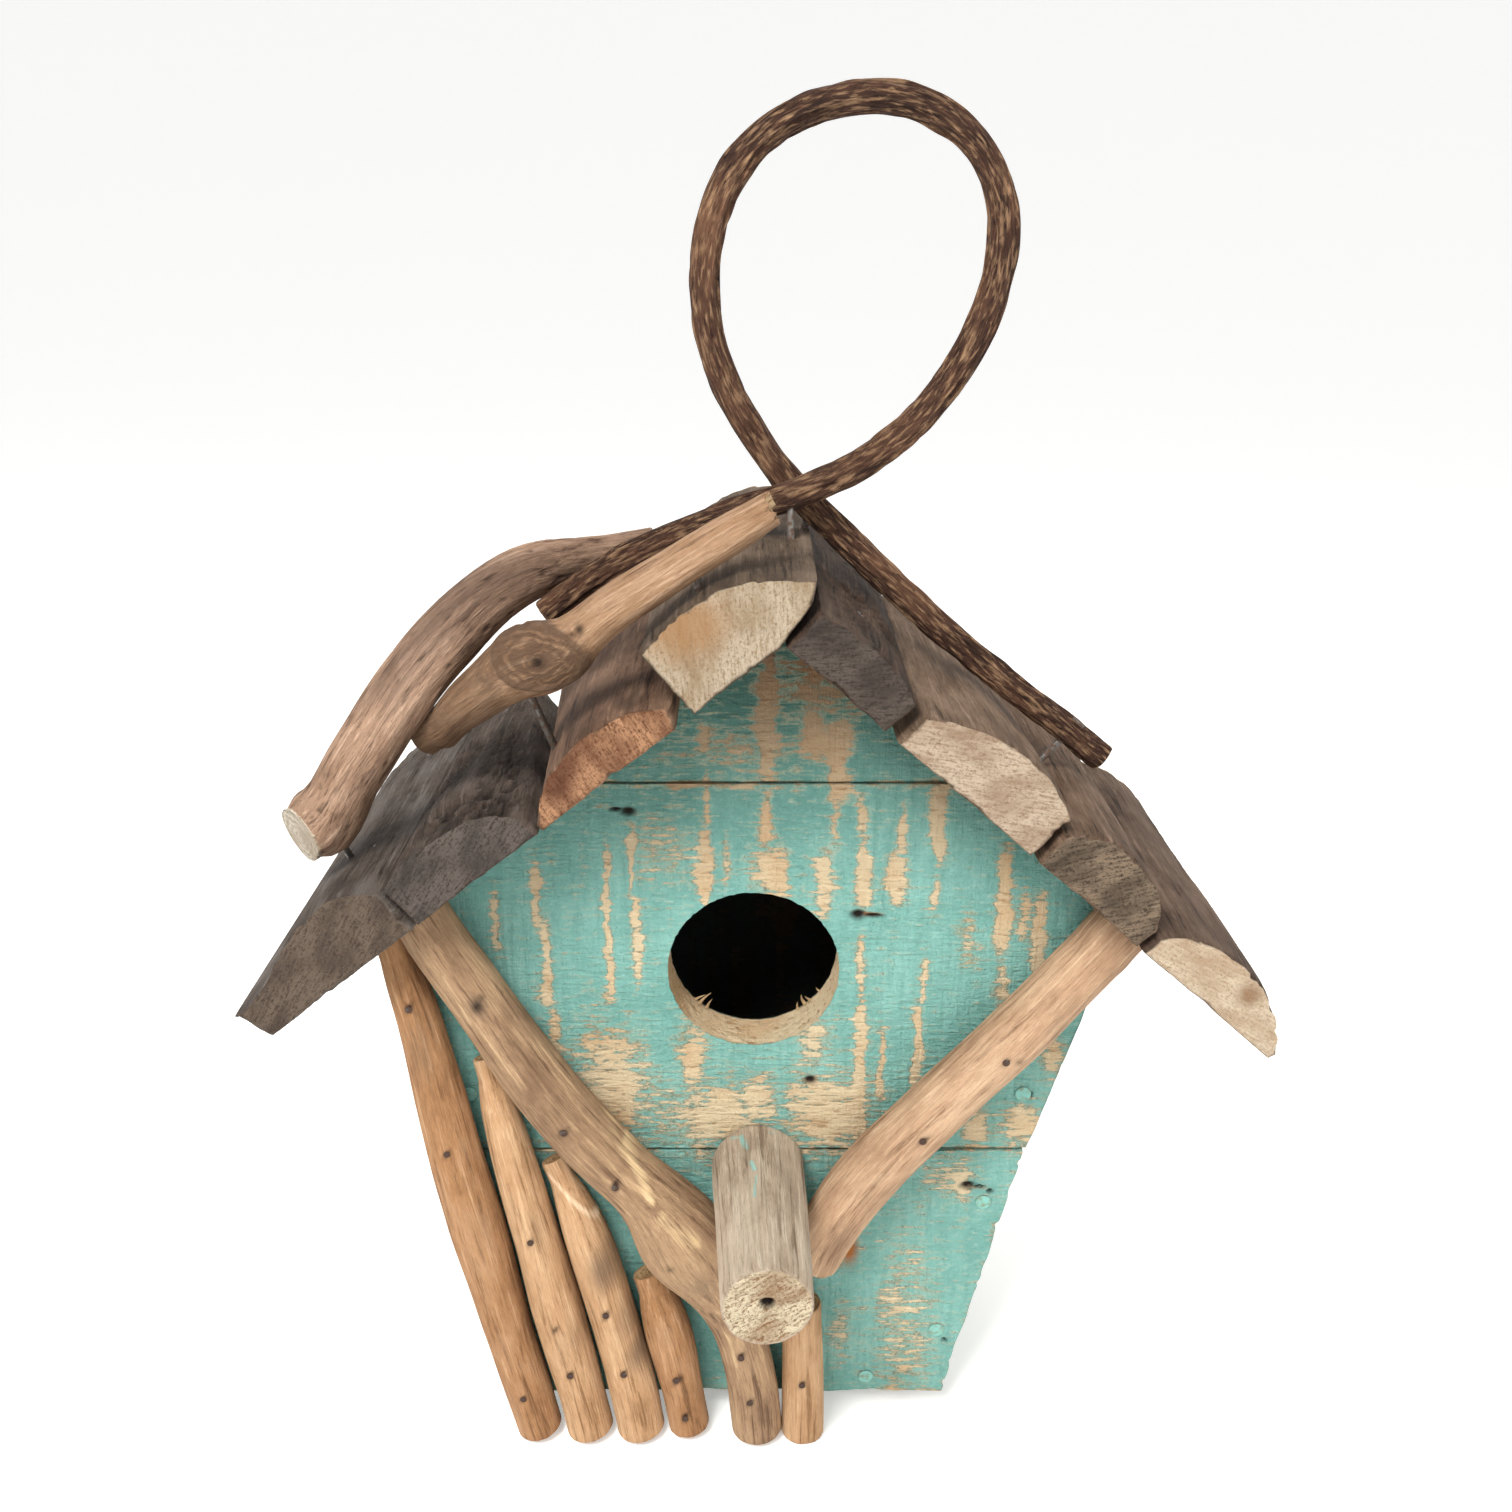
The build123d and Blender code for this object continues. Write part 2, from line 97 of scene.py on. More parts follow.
def noise(points, size, seed=0.0):
    """Smooth noise from 0 to 1: random values on a lattice of that spacing, which may
    differ by axis, blended inside each cell by the smoothstep of the place in it."""
    spot = np.asarray(points) / size + seed
    cell = np.floor(spot).astype(int)
    share = spot - cell
    share = share * share * (3 - 2 * share)
    total = 0
    for corner in np.ndindex(2, 2, 2):
        weight = np.where(corner, share, 1 - share).prod(-1)
        total = total + weight * lattice[tuple(np.moveaxis((cell + corner) % 32, -1, 0))]
    return total


def cad_triangles(name):
    """A CAD node's triangles, as (count, 3, 3) millimetres from the entrance."""
    mesh = frame["nodes"][name].data
    mesh.calc_loop_triangles()
    corners = np.empty(3 * len(mesh.loop_triangles), np.int32)
    mesh.loop_triangles.foreach_get("vertices", corners)
    spots = np.empty(3 * len(mesh.vertices))
    mesh.vertices.foreach_get("co", spots)
    return ((spots.reshape(-1, 3) - entrance_place) * 1000)[corners].reshape(-1, 3, 3)


def flat_end(triangles, depth, hole=None):
    """The outline of a piece's upright end at a depth, as (x, z): its corners there, in
    order of their angle about the middle. A hole, (x, z, radius), is left out."""
    spots = triangles.reshape(-1, 3)
    spots = np.unique(spots[np.abs(spots[:, 1] - depth) < 0.02][:, [0, 2]].round(2), axis=0)
    if hole:
        spots = spots[np.hypot(spots[:, 0] - hole[0], spots[:, 1] - hole[1]) > hole[2] + 0.5]
    from_middle = spots - (spots.min(0) + spots.max(0)) / 2
    return spots[np.argsort(np.arctan2(from_middle[:, 1], from_middle[:, 0]))]


def sharp_corners(outline, least=14):
    """The numbers of an outline's points where it turns by more than so many degrees."""
    after = np.roll(outline, -1, 0) - outline
    before = np.roll(after, 1, 0)
    crossed = before[:, 0] * after[:, 1] - before[:, 1] * after[:, 0]
    turn = np.arctan2(crossed, (before * after).sum(1))
    return np.flatnonzero(np.abs(turn) > math.radians(least))


def spaced(outline, corners, counts):
    """Points along an outline: each stretch from one corner to the next is divided evenly
    by its length into its count, so that the corners stay."""
    pieces = []
    for start, stop, count in zip(corners, np.roll(corners, -1), counts):
        run = outline[np.arange(start, stop + (len(outline) if stop <= start else 0) + 1) % len(outline)]
        along = np.concatenate([[0], np.cumsum(np.hypot(*np.diff(run, axis=0).T))])
        at = np.linspace(0, along[-1], count + 1)[:-1]
        pieces.append(np.column_stack([np.interp(at, along, run[:, k]) for k in (0, 1)]))
    return np.concatenate(pieces)


def stretch_counts(outline, corners, step):
    """How many steps each stretch between two corners of an outline is divided into."""
    counts = []
    for start, stop in zip(corners, np.roll(corners, -1)):
        run = outline[np.arange(start, stop + (len(outline) if stop <= start else 0) + 1) % len(outline)]
        counts.append(max(2, round(np.hypot(*np.diff(run, axis=0).T).sum() / step)))
    return counts


def normals(grid):
    """Unit vectors square to a grid that is closed round: the cross product of the steps
    round its rows and along it, turned outwards by the sign of the volume inside."""
    around = np.roll(grid, -1, 1) - np.roll(grid, 1, 1)
    along = np.gradient(grid, axis=0)
    square = np.cross(around, along)
    square /= np.linalg.norm(square, axis=-1, keepdims=True) + 1e-9
    across = np.roll(grid, -1, 1) - grid
    down = np.concatenate([grid[1:], grid[-1:]]) - grid
    volume = (np.cross(across, down) * (grid - grid.mean((0, 1)))).sum()
    return square * np.sign(volume)


def skin(name, grid, fields, material, body="house", ring=False, sharp=42):
    """A closed mesh over a grid of points (rows, round, 3): a four-sided face between
    neighbours, closed round, and either closed from the last row to the first (ring) or
    fanned to a middle point at each end. Faces are turned outwards by the volume's sign."""
    rows, columns, _ = grid.shape
    spots = grid.reshape(-1, 3)
    number = np.arange(rows * columns).reshape(rows, columns)
    lower = number if ring else number[:-1]
    upper = np.roll(number, -1, 0) if ring else number[1:]
    faces = np.stack([lower, np.roll(lower, -1, 1), np.roll(upper, -1, 1), upper], -1).reshape(-1, 4)
    fans = np.empty((0, 3), int)
    if not ring:
        first, last = rows * columns, rows * columns + 1
        spots = np.concatenate([spots, grid[:1].mean(1), grid[-1:].mean(1)])
        fans = np.concatenate([
            np.stack([np.roll(number[0], -1), number[0], np.full(columns, first)], -1),
            np.stack([number[-1], np.roll(number[-1], -1), np.full(columns, last)], -1)])
    from_middle = spots - spots.mean(0)
    a, b, c, d = (from_middle[faces[:, k]] for k in range(4))
    if (np.cross(b - a, c - a) * a).sum() + (np.cross(c - a, d - a) * a).sum() < 0:
        faces, fans = faces[:, ::-1], fans[:, ::-1]
    mesh = bpy.data.meshes.new(name)
    mesh.vertices.add(len(spots))
    mesh.vertices.foreach_set("co", place(spots).ravel())
    mesh.loops.add(faces.size + fans.size)
    mesh.loops.foreach_set("vertex_index", np.concatenate([faces.ravel(), fans.ravel()]))
    mesh.polygons.add(len(faces) + len(fans))
    starts = np.concatenate([4 * np.arange(len(faces)), faces.size + 3 * np.arange(len(fans))])
    mesh.polygons.foreach_set("loop_start", starts)
    mesh.update(calc_edges=True)
    mesh.polygons.foreach_set("use_smooth", np.ones(len(mesh.polygons), bool))
    mesh.set_sharp_from_angle(angle=math.radians(sharp))
    for key, values in fields.items():
        values = np.broadcast_to(values, grid.shape if np.ndim(values) == 3 else grid.shape[:2])
        values = values.reshape(rows * columns, -1)
        if not ring:
            ends = values.reshape(rows, columns, -1)[[0, -1]].mean(1)
            values = np.concatenate([values, ends])
        flat = values.shape[1] == 1
        attribute = mesh.attributes.new(key, "FLOAT" if flat else "FLOAT_VECTOR", "POINT")
        attribute.data.foreach_set("value" if flat else "vector", values.astype(np.float32).ravel())
    mesh.materials.append(material)
    piece = bpy.data.objects.new(name, mesh)
    bpy.context.scene.collection.objects.link(piece)
    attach(piece, body)
    return piece


def blots(grid, spots):
    """The most of several bell-shaped spots: exp(-(dx / half width)^2 - (dz / half height)^2)."""
    most = np.zeros(grid.shape[:2])
    for x, z, wide, high, *amount in spots:
        fall = ((grid[..., 0] - x) / wide) ** 2 + ((grid[..., 2] - z) / high) ** 2
        most = np.maximum(most, (amount[0] if amount else 1.0) * np.exp(-fall))
    return most


def strips(grid, marks):
    """The most of several drawn-out spots: exp(-(distance to the line between two points,
    seen from the front, over the half width)^2)."""
    most = np.zeros(grid.shape[:2])
    for x, z, to_x, to_z, wide, amount in marks:
        way = np.array([to_x - x, to_z - z])
        gap = grid[..., [0, 2]] - (x, z)
        share = np.clip(gap @ way / (way @ way), 0, 1)
        distance = np.linalg.norm(gap - share[..., None] * way, axis=-1)
        most = np.maximum(most, amount * np.exp(-(distance / wide) ** 2))
    return most


def board(name, material, step=1.0, ring_step=0.9, hole=None, body="house", bare=None, chip=0.35,
          rough=0.22, grain_axis=0, hidden=None, holes=(), stains=(), edge=0.25):
    """A flat board between two upright faces, as a closed grid. A row runs round the piece:
    the rows go from the hole's rim, or the middle, out over the front face to the outline,
    over the edge, and back in over the rear face. Row points lie on straight lines from the
    rim to the outline. Edges are rounded a little and nibbled by noise, and the front is
    sunk at the nail holes."""
    triangles = cad_triangles(name)
    front, back = triangles[..., 1].min(), triangles[..., 1].max()
    outline = flat_end(triangles, front, hole)
    corners = sharp_corners(outline)
    if body != "house":
        corners = np.arange(3) * len(outline) // 3
    rim_out = spaced(outline, corners, stretch_counts(outline, corners, step))
    middle = np.array(hole[:2]) if hole else (outline.min(0) + outline.max(0)) / 2
    from_middle = rim_out - middle
    reach = np.hypot(*from_middle.T)
    inner = (hole[2] if hole else 1.5) / reach
    rings = int(reach.max() / ring_step)
    # Each row: (share of the way from the rim to the outline's edge, how far in, depth).
    shares = np.concatenate([np.linspace(0, 1, rings), [1, 1, 1, 1], np.linspace(1, 0, rings // 2)])
    insets = np.concatenate([np.full(rings, edge), [edge / 2, 0, 0, edge / 2], np.full(rings // 2, edge)])
    over_edge = [front + edge / 2, front + edge, back - edge, back - edge / 2]
    depths = np.concatenate([np.full(rings, front), over_edge, np.full(rings // 2, back)])
    if hole:
        bore = np.linspace(back, front, 16)[1:-1]
        shares = np.concatenate([shares, np.zeros(len(bore))])
        insets = np.concatenate([insets, np.full(len(bore), edge)])
        depths = np.concatenate([depths, bore])
    reached = inner + (1 - insets[:, None] / reach - inner) * shares[:, None]
    flat = middle + from_middle * reached[..., None]
    grid = np.stack([flat[..., 0], np.broadcast_to(depths[:, None], reached.shape), flat[..., 1]], -1)
    # Nibbled outline, and a rim that the bore tore a little.
    near_edge = np.exp(-((1 - shares[:, None]) * (1 - inner) * reach) / 1.6)
    torn = np.clip(noise(grid, (2.2, 3, 2.2), 8.1) - 0.62, 0, 1)
    nibble = chip * (noise(grid, (4, 5, 4), 3.3) + 2.5 * torn)
    pull = near_edge * nibble
    if hole:
        near_rim = np.exp(-shares[:, None] * (1 - inner) * reach / 0.8)
        pull = pull - near_rim * 0.3 * noise(grid, (0.9, 2.5, 0.9), 5.7)
    grid[..., [0, 2]] -= (from_middle / reach[:, None]) * pull[..., None]
    faced = ((depths < front + 0.01) | (depths > back - 0.01))[:, None]
    sunk = rough * (noise(grid, (7, 4, 1.1), 1.9) + noise(grid, (2.6, 3, 0.7), 4.4)) * faced
    gouged = np.clip(noise(grid, (14, 9, 2.4), 6.2) - 0.62, 0, 1)
    sunk = sunk + 0.35 * (1 - near_rim if hole else 1) * faced * gouged
    pits = np.clip(1.6 * blots(grid, holes) - 0.4, 0, 1)
    grid[..., 1] += np.where(depths[:, None] < (front + back) / 2, sunk + 0.9 * faced * pits, -sunk)
    along, across = (grid[..., 0], grid[..., 2]) if grain_axis == 0 else (grid[..., 2], grid[..., 0])
    fields = {"grain": np.stack([across, grid[..., 1], along], -1)}
    worn = bare(grid) if bare else 1.25 * noise(grid, (3, 6, 19), 7.7) ** 2.2
    on_bore = (shares == 0)[:, None] & ~faced if hole else np.zeros_like(faced)
    worn = worn + 1.4 * edge * near_edge * noise(grid, 6, 2.2)
    fields["bare"] = np.clip(np.where(on_bore, 1.0, worn), 0, 1.2)
    # Painted shade inside the box: the inner face, seen through the entrance and the clean-out hole, is made
    # nearly black.
    inner_face_shade = np.zeros_like(faced)
    if hidden is not None:
        inner_face_shade = (np.abs(depths - (back, front)[hidden]) < 0.6)[:, None]
    outside = np.where(inner_face_shade, 0, 1) * faced
    fields["dark"] = np.clip(np.clip(1.6 * blots(grid, holes) - 0.25, 0, 1) * outside + 0.93 * inner_face_shade, 0, 1)
    fields["rust"] = np.clip(1.3 * blots(grid, stains) - 0.1, 0, 1) * outside
    piece = skin(name + "_wood", grid, fields, material, body=body, ring=bool(hole))
    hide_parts(name)
    return piece


def linear(hex_colour):
    """An sRGB hex colour turned to linear red, green, blue and an alpha of 1."""
    shares = [int(hex_colour[k:k + 2], 16) / 255 for k in (1, 3, 5)]
    return [s / 12.92 if s <= 0.04045 else ((s + 0.055) / 1.055) ** 2.4 for s in shares] + [1.0]


def add(tree, kind, **settings):
    """Adds a shader node. A setting is one of its properties or inputs (by name, or in_ and
    a number), as a value, a hex colour or a socket to link; stops are a ramp's colours."""
    node = tree.nodes.new("ShaderNode" + kind)
    for key, value in settings.items():
        if key == "stops":
            ramp = node.color_ramp.elements
            while len(ramp) < len(value):
                ramp.new(0.5)
            for element, (at, colour) in zip(ramp, value):
                element.position = at
                element.color = linear(colour) if isinstance(colour, str) else (colour, colour, colour, 1)
            continue
        if key in node.bl_rna.properties and key not in ("inputs", "outputs"):
            setattr(node, key, value)
            continue
        socket = node.inputs[int(key[3:])] if key.startswith("in_") else node.inputs[key.replace("_", " ")]
        if isinstance(value, bpy.types.NodeSocket):
            tree.links.new(value, socket)
        else:
            socket.default_value = linear(value) if isinstance(value, str) else value
    return node.outputs[2] if kind == "Mix" else node.outputs[0]


def new_material(name):
    """An empty node material and its tree and shader."""
    material = bpy.data.materials.new(name)
    material.use_nodes = True
    return material, material.node_tree, material.node_tree.nodes["Principled BSDF"]


def attribute(tree, name, vector=False):
    """The socket that reads one of a piece's own attributes."""
    node = tree.nodes.new("ShaderNodeAttribute")
    node.attribute_name = name
    return node.outputs["Vector" if vector else "Fac"]


def painted_pine(name, light, deep, wood_light, wood_dark):
    """Rough-sawn pine under one thin coat of chalky paint. The fibres are about 1 mm wide
    and the saw's upright ridges 2 mm apart; paint stays where the worn attribute,
    roughened by level ticks of fibre, is low. Grain's first number is the height."""
    material, tree, shader = new_material(name)
    grain = attribute(tree, "grain", True)
    bare = attribute(tree, "bare")
    ridge = add(tree, "TexNoise", Vector=add(tree, "Mapping", Vector=grain, Scale=(0.05, 0.3, 0.55)),
                Scale=1.0, Detail=4.0, Roughness=0.6)
    cloud = add(tree, "TexNoise", Vector=grain, Scale=0.045, Detail=6.0, Roughness=0.65)
    speckle = add(tree, "TexNoise", Vector=grain, Scale=1.3, Detail=5.0, Roughness=0.75)
    crumb = add(tree, "TexNoise", Vector=add(tree, "Mapping", Vector=grain, Scale=(0.8, 0.8, 0.5)),
                Scale=1.0, Detail=5.0, Roughness=0.75)
    ticks = add(tree, "TexNoise", Vector=add(tree, "Mapping", Vector=grain, Scale=(1.0, 0.5, 0.17)),
                Scale=1.0, Detail=5.0, Roughness=0.65)
    rough = add(tree, "Math", operation="MULTIPLY_ADD", in_0=ticks, in_1=1.8, in_2=-1.4)
    rough = add(tree, "Math", operation="MULTIPLY_ADD", in_0=crumb, in_1=1.0, in_2=rough)
    mask = add(tree, "Math", operation="MULTIPLY_ADD", in_0=bare, in_1=1.0, in_2=rough)
    worn = add(tree, "MapRange", interpolation_type="SMOOTHSTEP", in_0=mask, in_1=0.46, in_2=0.60)
    thin = add(tree, "MapRange", interpolation_type="SMOOTHSTEP", in_0=mask, in_1=0.18, in_2=0.60)
    # Painted shade: a darker band of paint along the edge of each worn place, standing in for the shadow line
    # of the saw's ridges.
    ridge_shade_edge = add(tree, "ValToRGB", Fac=mask, stops=[(0.34, 0.0), (0.46, 1.0), (0.50, 1.0), (0.60, 0.0)])
    paint = add(tree, "Mix", data_type="RGBA", in_6=light, in_7=deep,
                in_0=add(tree, "ValToRGB", Fac=cloud, stops=[(0.36, 0.0), (0.64, 1.0)]))
    paint = add(tree, "Mix", data_type="RGBA", in_6=paint, in_7=deep,
                in_0=add(tree, "ValToRGB", Fac=ridge, stops=[(0.42, 0.0), (0.66, 0.75)]))
    paint = add(tree, "Mix", data_type="RGBA", in_6=paint, in_7="#9CCBC2",
                in_0=add(tree, "ValToRGB", Fac=crumb, stops=[(0.50, 0.0), (0.72, 0.45)]))
    height_up = add(tree, "SeparateXYZ", Vector=grain)
    # Painted shade under the roof, with some darker paint: the paint turns dark green towards the top,
    # following the grain's first number.
    roof_shade_and_grime = add(tree, "MapRange", in_0=height_up, in_1=16.0, in_2=66.0, in_3=0.0, in_4=0.92)
    paint = add(tree, "Mix", data_type="RGBA", in_0=roof_shade_and_grime, in_6=paint, in_7="#3A5B50")
    paint = add(tree, "Mix", data_type="RGBA", in_6=paint, in_7=wood_light,
                in_0=add(tree, "Math", operation="MULTIPLY", in_0=thin, in_1=0.55))
    flaw = add(tree, "ValToRGB", Fac=speckle, stops=[(0.30, 0.7), (0.42, 0.0)])
    paint = add(tree, "Mix", data_type="RGBA", in_0=flaw, in_6=paint, in_7="#477A72")
    # The painted shade along the worn edges is mixed in here.
    paint = add(tree, "Mix", data_type="RGBA", in_6=paint, in_7="#55786A",
                in_0=add(tree, "Math", operation="MULTIPLY", in_0=ridge_shade_edge,
                         in_1=add(tree, "ValToRGB", Fac=speckle, stops=[(0.40, 0.85), (0.58, 0.1)])))
    timber = add(tree, "ValToRGB", Fac=ticks,
                 stops=[(0.32, wood_dark), (0.45, wood_light), (0.60, wood_light), (0.72, "#EAD9B6")])
    timber = add(tree, "Mix", data_type="RGBA", in_6=timber, in_7="#BC8A58",
                 in_0=add(tree, "ValToRGB", Fac=cloud, stops=[(0.46, 0.0), (0.68, 0.55)]))
    # Painted shade under the roof: the bare wood darkens to brown towards the top, following the grain's
    # first number.
    timber = add(tree, "Mix", data_type="RGBA", in_6=timber, in_7="#6E4E34",
                 in_0=add(tree, "MapRange", in_0=height_up, in_1=14.0, in_2=74.0, in_3=0.0, in_4=0.9))
    colour = add(tree, "Mix", data_type="RGBA", in_0=worn, in_6=paint, in_7=timber)
    rust = attribute(tree, "rust")
    colour = add(tree, "Mix", data_type="RGBA", in_0=rust, in_6=colour, in_7="#A8642C")
    dark = attribute(tree, "dark")
    colour = add(tree, "Mix", data_type="RGBA", in_0=dark, in_6=colour, in_7="#1C120B")
    height = add(tree, "Math", operation="MULTIPLY_ADD", in_0=ticks, in_1=0.9,
                 in_2=add(tree, "Math", operation="MULTIPLY", in_0=speckle, in_1=0.55))
    height = add(tree, "Math", operation="MULTIPLY_ADD", in_0=ridge, in_1=0.9, in_2=height)
    height = add(tree, "Math", operation="MULTIPLY_ADD", in_0=worn, in_1=-0.25, in_2=height)
    bump = add(tree, "Bump", Strength=1.0, Distance=0.0018, Height=height)
    tree.links.new(colour, shader.inputs["Base Color"])
    tree.links.new(bump, shader.inputs["Normal"])
    shader.inputs["Roughness"].default_value = 0.78
    shader.inputs["IOR"].default_value = 1.45
    shader.inputs["Specular IOR Level"].default_value = 0.3
    return material


aqua_pine = painted_pine("aqua_painted_pine", "#8CBFB3", "#6FA499", "#D8C4A0", "#A27C54")

# Worn streaks on the middle and gable boards: (x, top, bottom, half width, how worn).
streaks = [
    (-57, 21, 4, 1.1, .75), (-47.5, 28, 10, 1.3, .9), (-46, 12, -10, 1.7, .9), (-44.8, -8, -23, 2.5, .85),
    (-32, 32, -8, 1.0, .95), (-32.6, -4, -8, 1.9, 1), (-26.5, 36, 18, 1.1, 1), (-25.6, 20, -5, 1.1, .8),
    (-10.6, 59, 51, 2.1, 1), (-10.1, 50, 34, .8, .8), (-10.5, 36, 15, 1.9, 1), (-6.2, 34, 20, 1.4, .6),
    (3.0, 77, 45, 2.6, 1), (11.8, 63, 50, 3.0, .9), (17.8, 60, 41, 2.8, 1), (3.1, 45, 29, 1.8, .8),
    (4.9, 31, 18, 4.0, .95), (17.2, 43, 30, 1.4, .65), (15.6, 30, 13, 2.2, .85), (22.8, 43, 32, 1.3, .85),
    (23.8, 32, 15, 1.9, 1), (23.9, 10, -7, 1.1, .75), (24.2, -7, -34, 1.4, 1), (24, -27, -45, 2.3, 1),
    (32.1, 41, 29, 1.4, 1), (31.2, 30, 17, 2.2, 1), (40, 47, 26, 1.9, 1), (39.4, 23, 14, 1.3, .8),
    (38.3, 5, -10, 1.1, .75), (37.2, -8, -33, 1.5, 1), (55, 31, 4, 1.7, 1), (55.8, 4, -10, 2.4, .7),
    (59.6, 21, 7, 1.3, .65), (63, 20, -3, 1.7, .9), (47.2, 15, -1, 2.4, .5), (29.1, -14, -34, 1.4, .85),
]
# Worn patches: (x, z, half width, half height, how worn).
patches = [
    (-34, -32, 8, 13, .92), (-14, -22, 3, 8, .8), (-9, -38, 9, 8, .92), (1, -34, 4, 5, .85),
    (13.3, -18, 3.2, 5, .75), (17.7, -37, 8, 8, 1), (67.8, -22, 2, 5, .8), (62, -41, 4, 5, .8),
    (51.3, -42, 2.4, 4, .8), (46.4, -56, 5, 5, .62), (36.3, -100, 6, 20, .52), (22, -101, 2.2, 7, .55),
    (-11, 44.4, 15, .8, .6), (31, 44.6, 9, .8, .5), (16, 70, 9, 9, .7), (-4, 52, 10, 4, .5),
    (-20, 30, 5, 6, .5),
]
# Nail holes: (x, z, half width, half height), and a rusty stain.
nail_holes = [(-26.8, 38.4, 1.9, 1.1), (-29.4, 38.9, 1.6, .5), (23.0, 13.8, 1.8, 1.3), (26.4, 13.6, 2.4, .5),
              (13.0, -28.5, 1.6, 1.2), (50.7, -57.4, 1.9, 1.2), (53.4, -57.8, 1.6, .5),
              (63.7, -32.3, .8, .9), (56.0, -59.1, .9, .7), (47.1, -103.4, .9, .5), (19.6, -74.5, 1.6, 1.5)]
rust_stains = [(22.9, -75.5, 2.3, 5.0), (18.6, -80.0, 3.0, 1.8), (25.5, 13.9, 2.4, .5)]


def front_wear(grid):
    """How bare the front is: each streak is a bell across its width, which noise widens and
    narrows, fading at its top and its foot, its middle line swaying; each patch is a bell
    both ways, broken up by upright and by level noise."""
    sway = 1.6 * (noise(grid, (9, 9, 11), 2.7) - 0.5) + 0.9 * (noise(grid, (4, 9, 1.3), 7.1) - 0.5)
    breadth = 0.25 + 1.2 * noise(grid, (5, 9, 4.5), 4.2)
    most = np.zeros(grid.shape[:2])
    for x, top, bottom, wide, amount in streaks:
        across = np.exp(-((grid[..., 0] - x - sway) / (wide * breadth)) ** 2)
        up = np.clip((top + 2 - grid[..., 2]) / 6, 0, 1) * np.clip((grid[..., 2] - bottom + 2) / 5, 0, 1)
        most = np.maximum(most, 0.9 * amount * across * up)
    soft = blots(grid, [(x, z, 1.35 * wide, 1.35 * high, 1.1 * amount)
                        for x, z, wide, high, amount in patches])
    uneven = 0.55 * noise(grid, (3.2, 5, 11), 9.4) + 0.4 * noise(grid, (12, 5, 2.2), 3.6) + 0.2
    most = np.maximum(most, 1.15 * np.clip(soft, 0, 1) * uneven)
    return most + 0.2 * noise(grid, (2.4, 5, 16), 1.2)


for node in ("front_board_lower", "front_board_middle", "front_board_gable"):
    board(node, aqua_pine, step=0.8, ring_step=0.8, bare=front_wear, hidden=0,
          holes=nail_holes, stains=rust_stains,
          hole=(0, 0, entrance_radius) if node == "front_board_middle" else None,
          chip=1.1 if node == "front_board_lower" else 0.3, edge=0.25 if node == "front_board_lower" else 0.1)


# Splinters that the bore left standing in the entrance, low on both sides. Each is a thin
# pointed fibre: a ring of points carried along a bent line, its radius falling to the tip.
splinters = [(-12.6, -14.2, 62, 3.6, .45), (-10.9, -15.5, 80, 2.8, .4), (-13.6, -13.2, 40, 2.4, .35),
             (10.4, -15.9, 112, 2.6, .4), (12.2, -14.6, 128, 4.0, .5), (13.4, -13.4, 150, 2.8, .35),
             (15.4, -11.1, 140, 2.2, .3)]
bare_fibre = painted_pine("bare_torn_fibre", "#D9BE94", "#CDAE80", "#D9BE94", "#B08A5C")
for number, (x, z, lean, length, thick) in enumerate(splinters):
    share = np.linspace(0, 1, 12)[:, None, None]
    turn = np.linspace(0, 2 * math.pi, 8, endpoint=False)[None, :, None]
    lean = math.radians(lean)
    way = np.array([math.cos(lean), -0.25, math.sin(lean)])
    curl = np.array([0.9, -0.6, 0.4]) * length * 0.35
    middle = np.array([x, board_thickness - 1.5, z]) + way * length * share + curl * share ** 2
    sideways = np.cross(way, (0, 1, 0)) * np.cos(turn) + np.array([0, 1, 0]) * np.sin(turn) * 0.6
    grid = middle + sideways * thick * (1.02 - share) ** 0.7
    skin(f"entrance_splinter_{number + 1}", grid, {"grain": grid, "bare": 1.2}, bare_fibre)

# ---- back wall: three boards -----------------------------------------------------------
# The same pine and paint, less worn. The lowest has the round clean-out hole, and its
# middle is read from the cover's.
cover_low, cover_high = (np.array(corner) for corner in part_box("cleanout_cover"))
screw_low, screw_high = (np.array(corner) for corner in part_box("cleanout_screw"))
cover_wide = (cover_high - cover_low)[0] / 2 * 1000
cover_middle = (((cover_low + cover_high) / 2 - entrance_place) * 1000)[0]
hole_height = (cover_low - entrance_place)[2] * 1000 + cover_wide
cleanout_radius = 20.0
for node in ("back_board_lower", "back_board_middle", "back_board_gable"):
    hole = (cover_middle, hole_height, cleanout_radius) if node == "back_board_lower" else None
    board(node, aqua_pine, step=1.4, ring_step=1.5, hole=hole, hidden=1)

# ---- clean-out cover -------------------------------------------------------------------
# A thin pine offcut, cut round and left to swing on one screw, brushed with the same paint.
pivot = (((screw_low + screw_high) / 2 - entrance_place) * 1000)[[0, 2]]
screw_hole_radius = 2.1
board("cleanout_cover", aqua_pine, step=1.0, ring_step=1.0,
      hole=(pivot[0], pivot[1], screw_hole_radius), body="cleanout_cover", grain_axis=1)


